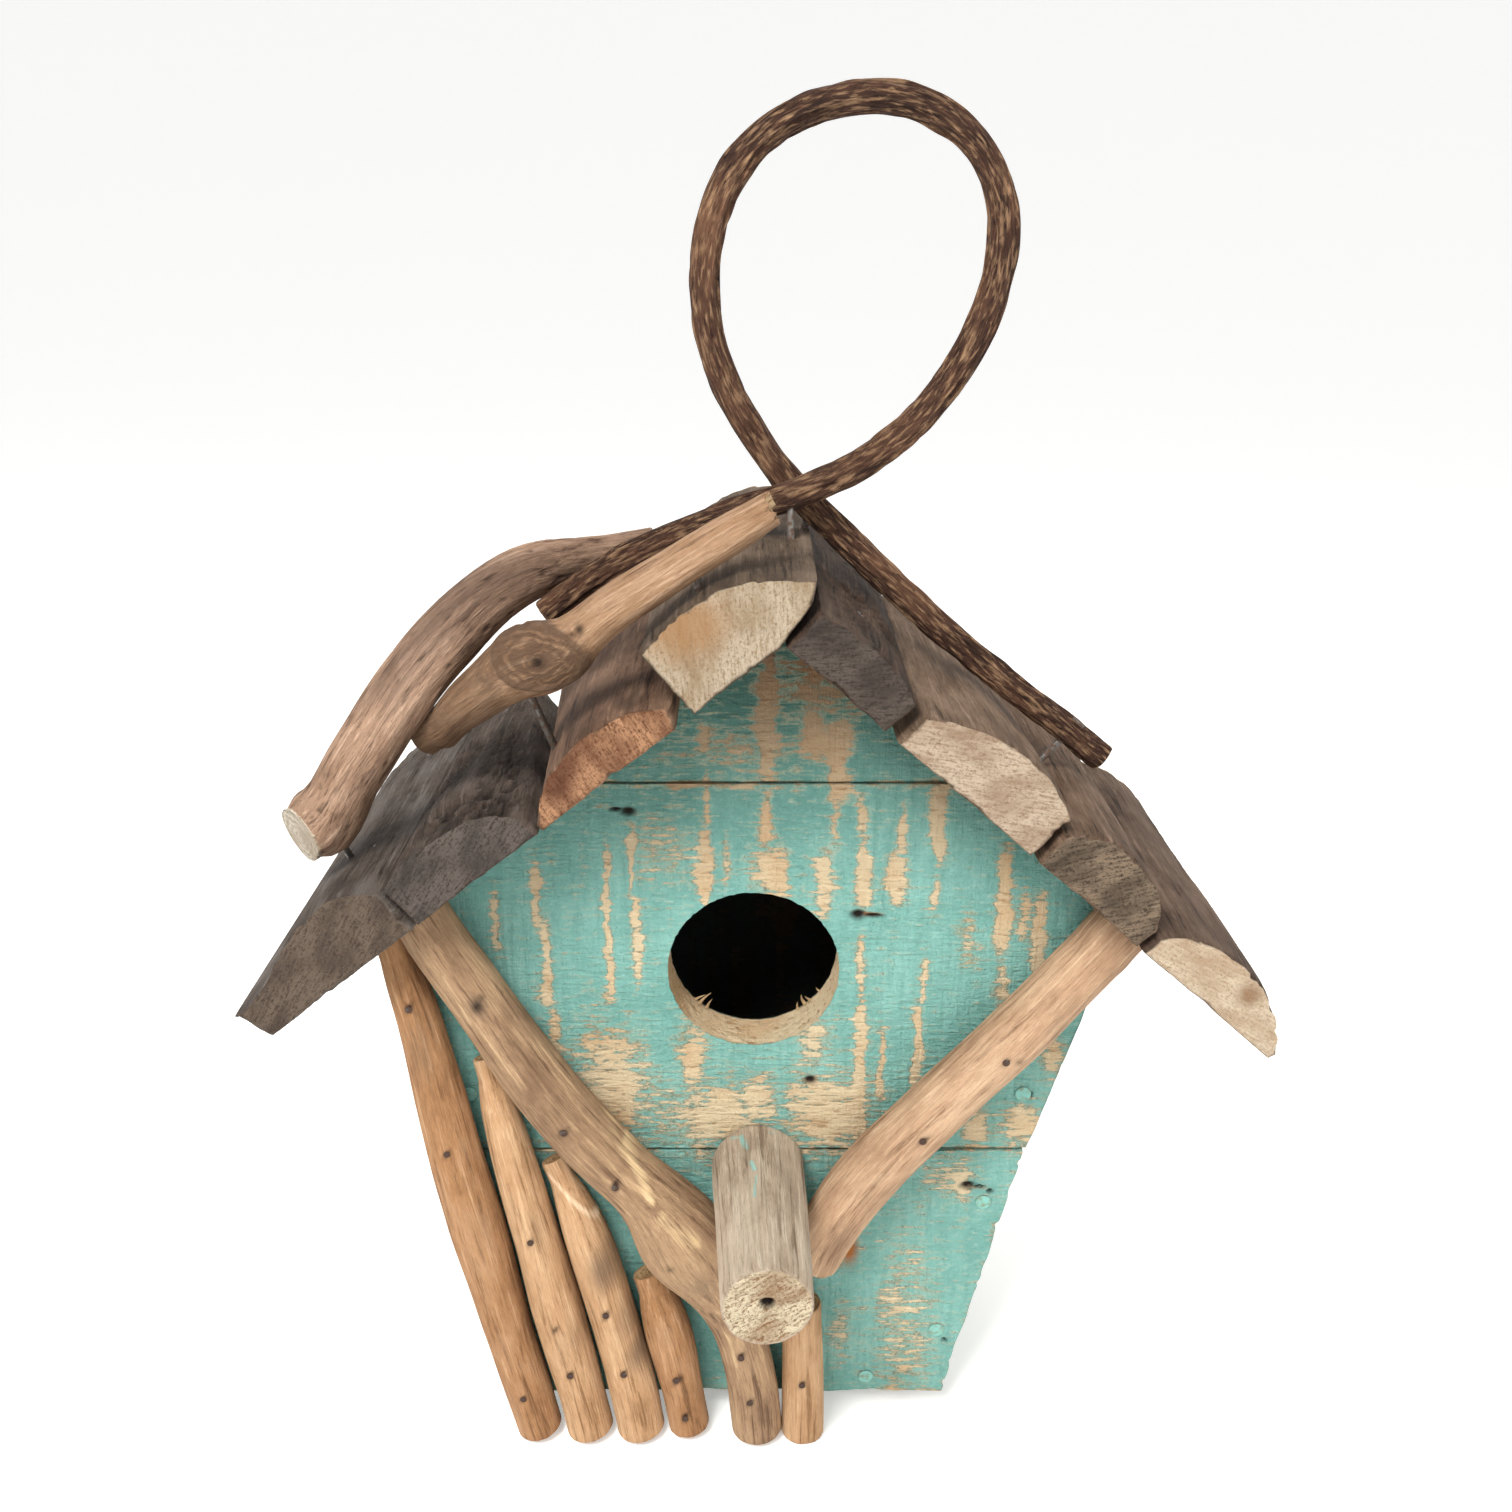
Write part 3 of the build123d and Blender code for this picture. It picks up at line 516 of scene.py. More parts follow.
# ---- side boards and floor -------------------------------------------------------------
# Two planks lean outwards between the front and the back, nailed at their ends, and a
# short board lies between them as the floor.
def lofted(name, step=0.7, row_step=1.0, end_step=0.6, edge=0.5, chip=0.5):
    """A piece that runs from an outline in front to one at the back, as rows round it: out
    from the front end's middle, over a rounded edge, back along straight lines between the
    two outlines' matching points, and in over the rear end. Returns the grid, whether
    each row is on an end (0 side, 1 end) and the front outline."""
    triangles = cad_triangles(name)
    front, back = triangles[..., 1].min(), triangles[..., 1].max()
    fore, rear = flat_end(triangles, front), flat_end(triangles, back)
    fore_corners, rear_corners = sharp_corners(fore), sharp_corners(rear, 5)
    guess = (fore[fore_corners] - fore.min(0)) * np.ptp(rear, axis=0) / np.ptp(fore, axis=0) + rear.min(0)
    gaps = np.linalg.norm(guess[:, None] - rear[rear_corners], axis=-1)
    rear_corners = rear_corners[gaps.argmin(1)]
    counts = stretch_counts(fore, fore_corners, step)
    fore, rear = spaced(fore, fore_corners, counts), spaced(rear, rear_corners, counts)
    middles = (fore.min(0) + fore.max(0)) / 2, (rear.min(0) + rear.max(0)) / 2
    reach = np.hypot(*(fore - middles[0]).T)
    rings = int(reach.max() / end_step)
    inward = np.linspace(0.04, 1, rings)
    length = int((back - front) / row_step)
    depths = np.concatenate([np.full(rings, front), [front + 0.3 * edge],
                             np.linspace(front + edge, back - edge, length), [back - 0.3 * edge],
                             np.full(rings, back)])
    scale = np.concatenate([inward, np.ones(length + 2), inward[::-1]])
    inset = np.concatenate([np.full(rings, edge), [0.3 * edge], np.zeros(length), [0.3 * edge],
                            np.full(rings, edge)])
    share = ((depths - front) / (back - front))[:, None, None]
    outline = fore + (rear - fore) * share
    middle = middles[0] + (middles[1] - middles[0]) * share
    out = outline - middle
    far_out = np.linalg.norm(out, axis=-1, keepdims=True)
    flat = middle + out * (scale[:, None, None] * (1 - inset[:, None, None] / far_out))
    grid = np.stack([flat[..., 0], np.broadcast_to(depths[:, None], flat.shape[:2]), flat[..., 1]], -1)
    on_end = (np.arange(len(depths)) < rings) | (np.arange(len(depths)) >= len(depths) - rings)
    near_end = np.exp(-np.minimum(depths - front, back - depths) / 1.5)[:, None]
    nibble = chip * (noise(grid * (1, 0, 1), (3, 1, 3), 3.1)
                     + 2.6 * np.clip(noise(grid * (1, 0, 1), (1.7, 1, 1.7), 6.3) - 0.6, 0, 1))
    flat_pull = (out / far_out) * (nibble * near_end * scale[:, None])[..., None]
    grid[..., 0] -= flat_pull[..., 0]
    grid[..., 2] -= flat_pull[..., 1]
    return grid, on_end[:, None].astype(float), fore


def slope_of(outline):
    """A unit vector along an outline's longest straight stretch, one square to it, and the
    stretch's middle."""
    corners = sharp_corners(outline)
    runs = outline[np.roll(corners, -1)] - outline[corners]
    longest = int(np.argmax(np.hypot(*runs.T)))
    along = runs[longest] / np.hypot(*runs[longest])
    middle = (outline[corners[longest]] + outline[np.roll(corners, -1)[longest]]) / 2
    return along, np.array([-along[1], along[0]]), middle


bare_pine = painted_pine("bare_sawn_pine", "#CDB48A", "#C2A070", "#D9BB8C", "#A9743E")
for node, material, slot in (("side_board_left", aqua_pine, "side_board"),
                             ("side_board_right", aqua_pine, "side_board"),
                             ("floor_board", bare_pine, "floor_board")):
    grid, on_end, outline = lofted(node, step=0.9, row_step=0.8, end_step=1.4)
    along = slope_of(outline)[0]
    run = grid[..., 0] * along[0] + grid[..., 2] * along[1]
    saw_marks = noise(np.stack([run, grid[..., 1], run], -1), (7, 1.3, 7), 1.4)
    sunk = 0.2 * (saw_marks + noise(grid, (3, 1, 3), 8.8))
    grid -= normals(grid) * (sunk * (1 - on_end))[..., None]
    worn = 0.9 * noise(np.stack([run, grid[..., 1], run], -1), (22, 3.5, 22), 5.1) ** 1.6
    fields = {"grain": np.stack([grid[..., 1], grid[..., 0], run], -1), "bare": worn + on_end * 0.6}
    piece = skin(node + "_wood", grid, fields, material)
    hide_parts(node)


# ---- roof: eight half-log slats --------------------------------------------------------
# Driftwood logs split along the middle and sawn to length, laid flat side down and nailed
# at both ends. Each has weathered to its own colour; the sawn ends are paler.
def weathered(name, light, base, dark, end_light, end_dark, fibre=1.0, stretch=0.06, rings=1.6, depth=0.7,
              pale="#E0C08C", stain="#8A5A34", speck=0.35, end_speck=0.5, crack=0.3, saw=30, ring_share=0.1):
    """Weathered wood. The grain attribute's first two numbers are millimetres across the
    stem from its pith and the third is millimetres along it, so fibres are noise drawn out
    along it, and growth rings are bands of the distance from the pith. The saw's marks
    cross the ends at an angle. Sawn ends, rubbed places, stains and pits come from the
    piece's own attributes."""
    material, tree, shader = new_material(name)
    grain = attribute(tree, "grain", True)
    cut, rubbed, dark_spot, stained = (attribute(tree, key) for key in ("cut", "rubbed", "dark", "stain"))
    drawn = add(tree, "Mapping", Vector=grain, Scale=(fibre, fibre, fibre * stretch))
    fibres = add(tree, "TexNoise", Vector=drawn, Scale=1.0, Detail=8.0, Roughness=0.7, Distortion=0.3)
    fine = add(tree, "TexNoise", Vector=add(tree, "Mapping", Vector=grain, Scale=(3.4, 3.4, 0.3)),
               Scale=1.0, Detail=4.0, Roughness=0.65)
    cloud = add(tree, "TexNoise", Vector=add(tree, "Mapping", Vector=grain, Scale=(0.1, 0.1, 0.04)),
                Scale=1.0, Detail=5.0, Roughness=0.65)
    dots = add(tree, "TexNoise", Vector=add(tree, "Mapping", Vector=grain, Scale=(1.5, 1.5, 0.9)),
               Scale=1.0, Detail=5.0, Roughness=0.78)
    body = add(tree, "ValToRGB", Fac=fibres, stops=[(0.37, dark), (0.46, base), (0.54, base), (0.64, light)])
    body = add(tree, "Mix", data_type="RGBA", in_6=body, in_7=light,
               in_0=add(tree, "ValToRGB", Fac=cloud, stops=[(0.48, 0.0), (0.66, 0.65)]))
    body = add(tree, "Mix", data_type="RGBA", in_6=body, in_7=dark,
               in_0=add(tree, "ValToRGB", Fac=cloud, stops=[(0.34, 0.6), (0.48, 0.0)]))
    body = add(tree, "Mix", data_type="RGBA", in_6=body, in_7=dark,
               in_0=add(tree, "ValToRGB", Fac=dots, stops=[(0.30, speck), (0.42, 0.0)]))
    body = add(tree, "Mix", data_type="RGBA", in_6=body, in_7=dark,
               in_0=add(tree, "ValToRGB", Fac=fine, stops=[(0.34, crack), (0.48, 0.0)]))
    across = add(tree, "VectorMath", operation="MULTIPLY", in_0=grain, in_1=(1, 1, 0))
    swirl = add(tree, "TexNoise", Vector=across, Scale=0.16, Detail=3.0)
    from_pith = add(tree, "VectorMath", operation="LENGTH", in_0=across).node.outputs["Value"]
    wavy = add(tree, "Math", operation="MULTIPLY_ADD", in_0=swirl, in_1=6.0, in_2=from_pith)
    ring = add(tree, "Math", operation="SINE",
               in_0=add(tree, "Math", operation="MULTIPLY", in_0=wavy, in_1=2 * math.pi / rings))
    ring = add(tree, "MapRange", in_0=ring, in_1=-1.0, in_2=1.0)
    turned = add(tree, "Mapping", Vector=across, Rotation=(0, 0, math.radians(saw)))
    sawn = add(tree, "TexNoise", Vector=add(tree, "Mapping", Vector=turned, Scale=(1.9, 0.28, 1)),
               Scale=1.0, Detail=7.0, Roughness=0.72)
    coarse = add(tree, "TexNoise", Vector=across, Scale=1.5, Detail=6.0, Roughness=0.8)
    blend = add(tree, "Math", operation="MULTIPLY", in_0=coarse, in_1=0.5 - 0.5 * ring_share)
    blend = add(tree, "Math", operation="MULTIPLY_ADD", in_0=sawn, in_1=0.5 - 0.5 * ring_share, in_2=blend)
    end_tone = add(tree, "Math", operation="MULTIPLY_ADD", in_0=ring, in_1=ring_share, in_2=blend)
    end = add(tree, "ValToRGB", Fac=end_tone, stops=[(0.42, end_dark), (0.52, end_light)])
    patch = add(tree, "TexNoise", Vector=add(tree, "Mapping", Vector=turned, Scale=(0.16, 0.07, 1)),
                Scale=1.0, Detail=3.0)
    end = add(tree, "Mix", data_type="RGBA", in_6=end, in_7=end_dark,
              in_0=add(tree, "ValToRGB", Fac=patch, stops=[(0.36, 0.75), (0.56, 0.0)]))
    end = add(tree, "Mix", data_type="RGBA", in_6=end, in_7=dark,
              in_0=add(tree, "ValToRGB", Fac=dots, stops=[(0.34, end_speck), (0.44, 0.0)]))
    colour = add(tree, "Mix", data_type="RGBA", in_0=cut, in_6=body, in_7=end)
    worn_place = add(tree, "Math", operation="MULTIPLY_ADD", in_0=fibres, in_1=0.9, in_2=rubbed)
    worn_place = add(tree, "MapRange", in_0=worn_place, in_1=0.85, in_2=1.12)
    colour = add(tree, "Mix", data_type="RGBA", in_0=worn_place, in_6=colour, in_7=pale)
    stain_place = add(tree, "Math", operation="MULTIPLY_ADD", in_0=sawn, in_1=1.2, in_2=stained)
    stain_place = add(tree, "MapRange", in_0=stain_place, in_1=0.75, in_2=1.35)
    stain_share = add(tree, "Math", operation="MULTIPLY", in_0=stain_place, in_1=0.8)
    colour = add(tree, "Mix", data_type="RGBA", in_0=stain_share, in_6=colour, in_7=stain)
    colour = add(tree, "Mix", data_type="RGBA", in_0=dark_spot, in_6=colour, in_7="#1C120B")
    side_height = add(tree, "Math", operation="MULTIPLY_ADD", in_0=fine, in_1=0.35, in_2=fibres)
    end_height = add(tree, "Math", operation="MULTIPLY_ADD", in_0=coarse, in_1=0.8, in_2=sawn)
    height = add(tree, "Mix", data_type="FLOAT", in_0=cut, in_2=side_height, in_3=end_height).node.outputs[0]
    bump = add(tree, "Bump", Strength=1.0, Distance=0.0022 * depth, Height=height)
    tree.links.new(colour, shader.inputs["Base Color"])
    tree.links.new(bump, shader.inputs["Normal"])
    shader.inputs["Roughness"].default_value = 0.82
    shader.inputs["IOR"].default_value = 1.45
    shader.inputs["Specular IOR Level"].default_value = 0.25
    return material


# Each slat: its slot, top colours (light, base, dark), end colours (light, dark), how much
# rough bark is left on its top, and where its end is stained (across, up, size).
slat_finishes = {
    "roof_slat_left_1": ("slat_pale", "#84705F", "#61503F", "#33261C", "#DCCAB0", "#A88C6A", 0.1,
                         [(-10.0, 2.0, 8.0, .6), (-16, 7, 5, .6), (-4, 1, 6, .4)], "#B88858", 20),
    "roof_slat_left_2": ("slat_red", "#96775F", "#725541", "#402D20", "#D09C74", "#6A3E26", 0.0,
                         [(-10.0, 4.0, 4.0, .85), (-4.0, 6.0, 4.0, .65), (3.0, 8.0, 4.0, .5)], "#5A2C18", 12),
    "roof_slat_left_3": ("slat_grey", "#6E6056", "#493B31", "#1C140F", "#746860", "#3C342E",
                         0.95, [], "#3B2A1C", 60),
    "roof_slat_left_4": ("slat_grey", "#7C746E", "#5C5148", "#352A23", "#7E6C5C", "#4A3C32",
                         0.35, [], "#5A4330", 70),
    "roof_slat_right_1": ("slat_grey", "#6A5646", "#48362A", "#1E1610", "#6A5D54", "#3A302A",
                          0.85, [], "#3B2A1C", 40),
    "roof_slat_right_2": ("slat_pale", "#98806B", "#775F4B", "#48382A", "#E2CCB2", "#A98A6E",
                          0.0, [], "#B98B54", 65),
    "roof_slat_right_3": ("slat_grey", "#947A66", "#705845", "#34271D", "#9C866E", "#3C3026",
                          0.2, [], "#4A3524", 30),
    "roof_slat_right_4": ("slat_pale", "#8A7360", "#665142", "#3A2C22", "#F0DCC0", "#C8A684", 0.1,
                          [(4.0, 5.0, 3.0, .8)], "#9C7048", 75),
}
for index, (node, finish) in enumerate(slat_finishes.items()):
    slot, light, base, dark, end_light, end_dark, bark, stains, stain, saw = finish
    material = weathered(node + "_driftwood", light, base, dark, end_light, end_dark, fibre=0.85,
                         stain=stain, depth=1.0, rings=2.4, stretch=0.05, saw=saw, ring_share=0.02)
    grid, on_end, outline = lofted(node, step=0.55, row_step=0.9, end_step=0.5, edge=0.7, chip=0.9)
    along, square, under = slope_of(outline)
    if square[1] < 0:
        along, square = -along, -square
    across = (grid[..., 0] - under[0]) * along[0] + (grid[..., 2] - under[1]) * along[1]
    up = (grid[..., 0] - under[0]) * square[0] + (grid[..., 2] - under[1]) * square[1]
    grain = np.stack([across, up + 3.0, grid[..., 1]], -1)
    seed = 3.1 * index
    on_top = np.clip(up / 3, 0, 1) * (1 - on_end)
    fibrous = noise(grain, (1.5, 1.5, 20), seed) + 0.6 * noise(grain, (0.9, 0.9, 8), seed + 4)
    lumpy = noise(grain, (9, 9, 34), seed + 7)
    barky = bark * np.clip(noise(grain, (6, 6, 14), seed + 2) * 2.4 - 0.7, 0, 1) * on_top
    pitted = 1.5 * barky * (noise(grain, (1.6, 1.6, 2.6), seed + 5) + noise(grain, (0.8, 0.8, 1.2), seed + 9))
    sawn = 0.35 * (noise(grain, (1.1, 1.1, 4), seed + 6) + 0.7 * noise(grain, (3.5, 3.5, 4), seed + 8))
    sunk = on_top * (0.4 * fibrous + 0.8 * lumpy) + 0.9 * pitted + on_end * sawn
    front, back = grid[..., 1].min(), grid[..., 1].max()
    grid = grid - normals(grid) * sunk[..., None]
    grid[..., 1] = np.clip(grid[..., 1], front, back)
    fields = {
        "grain": grain, "cut": on_end * np.ones_like(across),
        "dark": np.clip(barky * np.clip(noise(grain, (1.6, 1.6, 2.6), seed + 5) * 2 - 0.8, 0, 1), 0, 0.9),
        "stain": np.clip(sum((much * np.exp(-((across - x) ** 2 + (up - z) ** 2) / size ** 2)
                              for x, z, size, much in stains), np.zeros_like(across)), 0, 1) * on_end,
    }
    piece = skin(node + "_log", grid, fields, material)
    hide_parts(node)


# ---- front sticks ----------------------------------------------------------------------
# Peeled driftwood sticks, worn smooth by water, set side by side against the lower left of
# the front, one by the perch and one on the left wall's corner, each held by thin brads.
def cut_at(triangles, axis, level):
    """Centre and area of a piece's cut at one level of an axis. Every triangle that the
    level cuts gives one short segment, and the segments' cross products add up to twice
    the area, and weighted by their middles to the centre."""
    height = triangles[:, :, axis] - level
    cut = (height.min(1) < 0) & (height.max(1) >= 0)
    corner, height = triangles[cut], height[cut]
    after, height_after = np.roll(corner, -1, 1), np.roll(height, -1, 1)
    crossed = (height < 0) != (height_after < 0)
    share = np.where(crossed, height / np.where(crossed, height - height_after, 1), 0)
    spots = corner + share[..., None] * (after - corner)
    rising, falling = spots[crossed & (height < 0)], spots[crossed & (height >= 0)]
    a, b = [k for k in range(3) if k != axis]
    weight = rising[:, a] * falling[:, b] - rising[:, b] * falling[:, a]
    centre = ((rising + falling) * weight[:, None]).sum(0) / (3 * weight.sum())
    centre[axis] = level
    return centre, abs(weight.sum()) / 2


def centre_line(name, axis, margin, step=2.0):
    """A stick's middle line and radii, from cuts across the CAD solid, carried straight on
    to its two ends. The radius comes from the cut's area, made less by its slant."""
    triangles = cad_triangles(name)
    low, high = triangles[..., axis].min() + margin, triangles[..., axis].max() - margin
    cuts = [cut_at(triangles, axis, level) for level in np.linspace(low, high, int((high - low) / step) + 1)]
    centres, areas = np.array([c for c, _ in cuts]), np.array([a for _, a in cuts])
    run = np.gradient(centres, axis=0)
    run /= np.linalg.norm(run, axis=1, keepdims=True)
    radii = np.sqrt(areas * np.abs(run[:, axis]) / math.pi)
    spots = triangles.reshape(-1, 3)
    first, last = -run[:3].mean(0), run[-3:].mean(0)
    first, last = first / np.linalg.norm(first), last / np.linalg.norm(last)
    start = centres[0] + first * (((spots - centres[0]) @ first).max())
    stop = centres[-1] + last * (((spots - centres[-1]) @ last).max())
    return np.vstack([start, centres, stop]), np.concatenate([radii[:1], radii, radii[-1:]])


def stick(line, radii, step=0.8, columns=64, edge=0.6, towards=(0, -1, 0), lumps=0.5, ridges=0.16, seed=0.0,
          trims=(0, 0), end_rough=0.25, end_rings=9, limit=None):
    """A round stick along a line: rows of points round it, at the cosine and sine of their
    angle times the radius, in the plane square to the line. Both ends close in shrinking
    rings over a rounded edge. Slow noise swells it, and noise drawn out along it ridges it.
    A trim takes some of the length off each column at an end; limit cuts it by a plane,
    which slides what lies beyond it back along the stick."""
    along = np.concatenate([[0], np.cumsum(np.linalg.norm(np.diff(line, axis=0), axis=1))])
    length = along[-1]
    body = np.linspace(edge, length - edge, int(length / step))
    shrink = np.linspace(0.06, 1, end_rings)
    at = np.concatenate([np.zeros(end_rings), [0.3 * edge], body, [length - 0.3 * edge],
                         np.full(end_rings, length)])
    thin = np.concatenate([shrink, np.ones(len(body) + 2), shrink[::-1]])
    inset = np.concatenate([shrink * edge, [0.3 * edge], np.zeros(len(body)), [0.3 * edge],
                            shrink[::-1] * edge])
    turn = np.linspace(0, 2 * math.pi, columns, endpoint=False)
    start_trim, stop_trim = (np.broadcast_to(trim, columns) for trim in trims)
    where = start_trim + at[:, None] * (length - start_trim - stop_trim) / length
    centre = np.stack([np.interp(where, along, line[:, k]) for k in range(3)], -1)
    slopes = np.gradient(line, along, axis=0)
    way = np.stack([np.interp(where, along, slopes[:, k]) for k in range(3)], -1)
    way /= np.linalg.norm(way, axis=-1, keepdims=True)
    side = np.cross(way, np.broadcast_to(towards, way.shape))
    side /= np.linalg.norm(side, axis=-1, keepdims=True)
    face = np.cross(side, way)
    radius = np.interp(where, along, radii)
    out = face * np.cos(turn)[None, :, None] + side * np.sin(turn)[None, :, None]
    grain = np.stack([radius * np.cos(turn), radius * np.sin(turn), where], -1)
    swell = lumps * (noise(grain, (7, 7, 16), seed) - 0.45) + ridges * (
        noise(grain, (1.3, 1.3, 18), seed + 3) + 0.6 * noise(grain, (0.8, 0.8, 7), seed + 5) - 1.2)
    grown = (radius + swell - inset[:, None]) * thin[:, None]
    grid = centre + out * grown[..., None]
    grain = np.stack([grown * np.cos(turn), grown * np.sin(turn), where], -1)
    on_end = np.concatenate([np.ones(end_rings), np.zeros(len(body) + 2), np.ones(end_rings)])[:, None]
    rough = end_rough * on_end * (noise(grain, (1.3, 1.3, 50), seed + 8) + noise(grain, (3, 3, 50), seed + 1))
    inwards = np.where(np.arange(len(at)) < len(at) / 2, 1, -1)[:, None]
    grid = grid + way * (rough * inwards)[..., None]
    if limit is not None:
        spot, square = limit
        over = (grid - spot) @ square
        slide = np.where(over > 0, over / (way @ square), 0)
        grid = grid - way * slide[..., None]
        on_end = np.maximum(on_end, over > -0.1)
    return grid, grain, on_end * np.ones_like(where)


def roof_limit(node):
    """The plane just under a slat: a point of it and the way out of the roof."""
    triangles = cad_triangles(node)
    outline = flat_end(triangles, triangles[..., 1].min())
    _, square, under = slope_of(outline)
    square = square if square[1] > 0 else -square
    out = np.array([square[0], 0, square[1]])
    return np.array([under[0], 0, under[1]]) - 0.3 * out, out


brad_corners = cad_triangles("stick_brads").reshape(-1, 3)[:, [0, 2]]
cells, cell_of = np.unique((brad_corners / 4).round(), axis=0, return_inverse=True)
brad_spots = np.stack([np.bincount(cell_of.ravel(), brad_corners[:, k]) for k in (0, 1)], -1)
brad_spots = brad_spots / np.bincount(cell_of.ravel())[:, None]


def brad_marks(grid):
    """Dark slanted slits at every brad, on the side that faces front: a bell of the
    distance, 0.55 mm across the slit and 1.3 mm along it."""
    gaps = grid[:, :, None, [0, 2]] - brad_spots
    across = (gaps[..., 0] * 0.85 - gaps[..., 1] * 0.53) / 0.55
    along = (gaps[..., 0] * 0.53 + gaps[..., 1] * 0.85) / 1.3
    facing = grid[..., 1] < grid[..., 1].mean(1, keepdims=True)
    return np.exp(-(across ** 2 + along ** 2).min(-1)) * facing


tan_wood = weathered("peeled_driftwood_tan", "#BC9470", "#A0754F", "#6E4C30", "#C8A274", "#8A6240",
                     fibre=0.9, stretch=0.045, depth=0.5, rings=1.2, speck=0.2, crack=0.25,
                     pale="#E3C9A4", stain="#7C6650")
light_wood = weathered("peeled_driftwood_light", "#D0AC86", "#B78F69", "#83603F", "#C8A274", "#8A6240",
                       fibre=0.9, stretch=0.045, depth=0.5, rings=1.2, speck=0.2, crack=0.25,
                       pale="#DFC2A0", stain="#6E5844")
grey_wood = weathered("peeled_driftwood_grey", "#BC9C78", "#9A7B5E", "#644A36", "#C4A078", "#80603F",
                      fibre=0.8, stretch=0.05, depth=0.55, rings=1.2, speck=0.3, crack=0.35,
                      pale="#DDBE92", stain="#6E5A48")
rail_wood = weathered("peeled_driftwood_rail", "#CDAE8E", "#B08E70", "#7E6048", "#C4A078", "#80603F",
                      fibre=0.8, stretch=0.05, depth=0.5, rings=1.2, speck=0.3, crack=0.3,
                      pale="#E4C492", stain="#7A6450")
# Each stick: its finish and slot, the slat that it is cut off under, its rubbed places as
# (x, z, to x, to z, half width, amount), and its dark knots and grey stains as (x, z, half
# width, half height, amount).
front_sticks = {
    "stick_left_1": (tan_wood, "tan_stick", "roof_slat_left_4", [(-68, -40, -60, -75, 1.5, .3)], [],
                     [(-73, -15, 4, 12, .5), (-62, -60, 3, 8, .4)]),
    "stick_left_2": (light_wood, "tan_stick", None, [(-63, -20, -59, -32, .9, .45)], [],
                     [(-50, -62, 3, 7, .45), (-43, -92, 4, 8, .4)]),
    "stick_left_3": (light_wood, "tan_stick", None,
                     [(-47.5, -50.5, -36.5, -60.5, 1.1, .62)], [],
                     [(-35, -73, 4, 7, .95), (-30, -88, 3.5, 8, .6), (-27.5, -98, 3.5, 6, .9)]),
    "stick_left_4": (tan_wood, "tan_stick", None, [], [], [(-22, -92, 4, 5, .4)]),
    "stick_centre": (light_wood, "tan_stick", None, [], [], [(9, -82, 3, 5, .5)]),
    "front_branch_left": (grey_wood, "grey_driftwood", "roof_slat_left_3",
                          [(-35, -27, -29, -40, 1.3, .5), (-29, -38, -23, -50, 1.9, .62),
                           (-20.5, -53.5, -13.5, -60, 3.0, .55), (-66, 6, -61, -6, 1.4, .45),
                           (-57, -14, -50, -26, 1.2, .4), (-8, -84, -4, -100, 1.4, .45)],
                          [(-59.3, -1.4, 1.1, 1.4, .95), (-58.6, 0.4, 1.0, .7, .6), (-19, -66, 1.0, .8, .7)],
                          [(-59.3, -1.4, 2.6, 2.8, .8), (-12, -72, 5, 5, .5)]),
    "rail_right": (rail_wood, "grey_driftwood", "roof_slat_right_3", [(24, -52, 44, -30, 1.5, .4)],
                   [(58, -15, .9, .9, .6)], [(66, -8, 4, 6, .4), (20, -62, 4, 5, .4)]),
    "corner_stick_left": (grey_wood, "grey_driftwood", "roof_slat_left_4", [], [], []),
}
for index, (node, (material, slot, slat, rubs, knots, greys)) in enumerate(front_sticks.items()):
    line, radii = centre_line(node, axis=2, margin=8 if slat else 5)
    grid, grain, on_end = stick(line, radii, seed=4.7 * index, columns=72,
                                limit=roof_limit(slat) if slat else None)
    marks = brad_marks(grid) * (1 - on_end)
    if node == "front_branch_left":
        swollen = blots(grid, [(-16, -66, 10, 9)])[..., None]
        grid = grid + (grid - grid.mean(1, keepdims=True)) * (0.32, 0.1, 0.32) * swollen
    grid[..., 1] += 0.4 * marks
    fields = {"grain": grain, "cut": on_end, "rubbed": strips(grid, rubs) * (1 - on_end),
              "dark": np.clip(0.9 * marks + blots(grid, knots), 0, 0.95),
              "stain": 0.85 * blots(grid, greys) * (1 - on_end)}
    piece = skin(node + "_driftwood", grid, fields, material)
    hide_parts(node)

# ---- perch -----------------------------------------------------------------------------
# A tapered length of branch, screwed on from inside over the seam between two boards. Its
# sawn end is rough and bright, with a dark pith, and flecks of the paint lie on its top.
perch_wood = weathered("sawn_branch_perch", "#DCCBB4", "#BEA992", "#84705C", "#F6E6C4", "#8E5C2E", fibre=0.9,
                       stretch=0.05, depth=0.9, rings=1.6, pale="#8FCDC4", speck=0.3, end_speck=0.95,
                       ring_share=0.02)
line, radii = centre_line("perch", 1, margin=1.5)
line[0, 1] += 0.45
line[-1, 1] -= 0.45
grid, grain, on_end = stick(line, radii, columns=120, step=0.6, towards=(0, 0, 1), edge=1.0,
                            end_rough=0.7, end_rings=24, seed=2.2)
top = grid[..., 2] > -50
flecks = [(-3.0, -4, -1.4, -9, 1.3, .6), (-2.4, -5, -5, -3, 1.0, .55), (-0.6, -14, 0.2, -17, 1.1, .62),
          (0.6, -19, 0.2, -26, .7, .6), (4.5, -2.5, 2.5, -3.5, 1.0, .5)]
flipped = np.stack([grid[..., 0], grid[..., 2], grid[..., 1]], -1)
pith = np.clip(2.2 - np.hypot(grain[..., 0] - 0.6, grain[..., 1]) / 0.85, 0, 1) * on_end
grid[..., 1] += 1.2 * pith * (grid[..., 1] < line[:, 1].mean())
perch_tip = ((np.array(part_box("perch")[0]) - entrance_place) * 1000)[1]
grid[..., 1] = np.maximum(grid[..., 1], perch_tip)
fields = {"grain": grain, "cut": on_end, "rubbed": strips(flipped, flecks) * top,
          "dark": pith, "stain": 0.0 * on_end}
perch = skin("perch_branch", grid, fields, perch_wood)
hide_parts("perch")

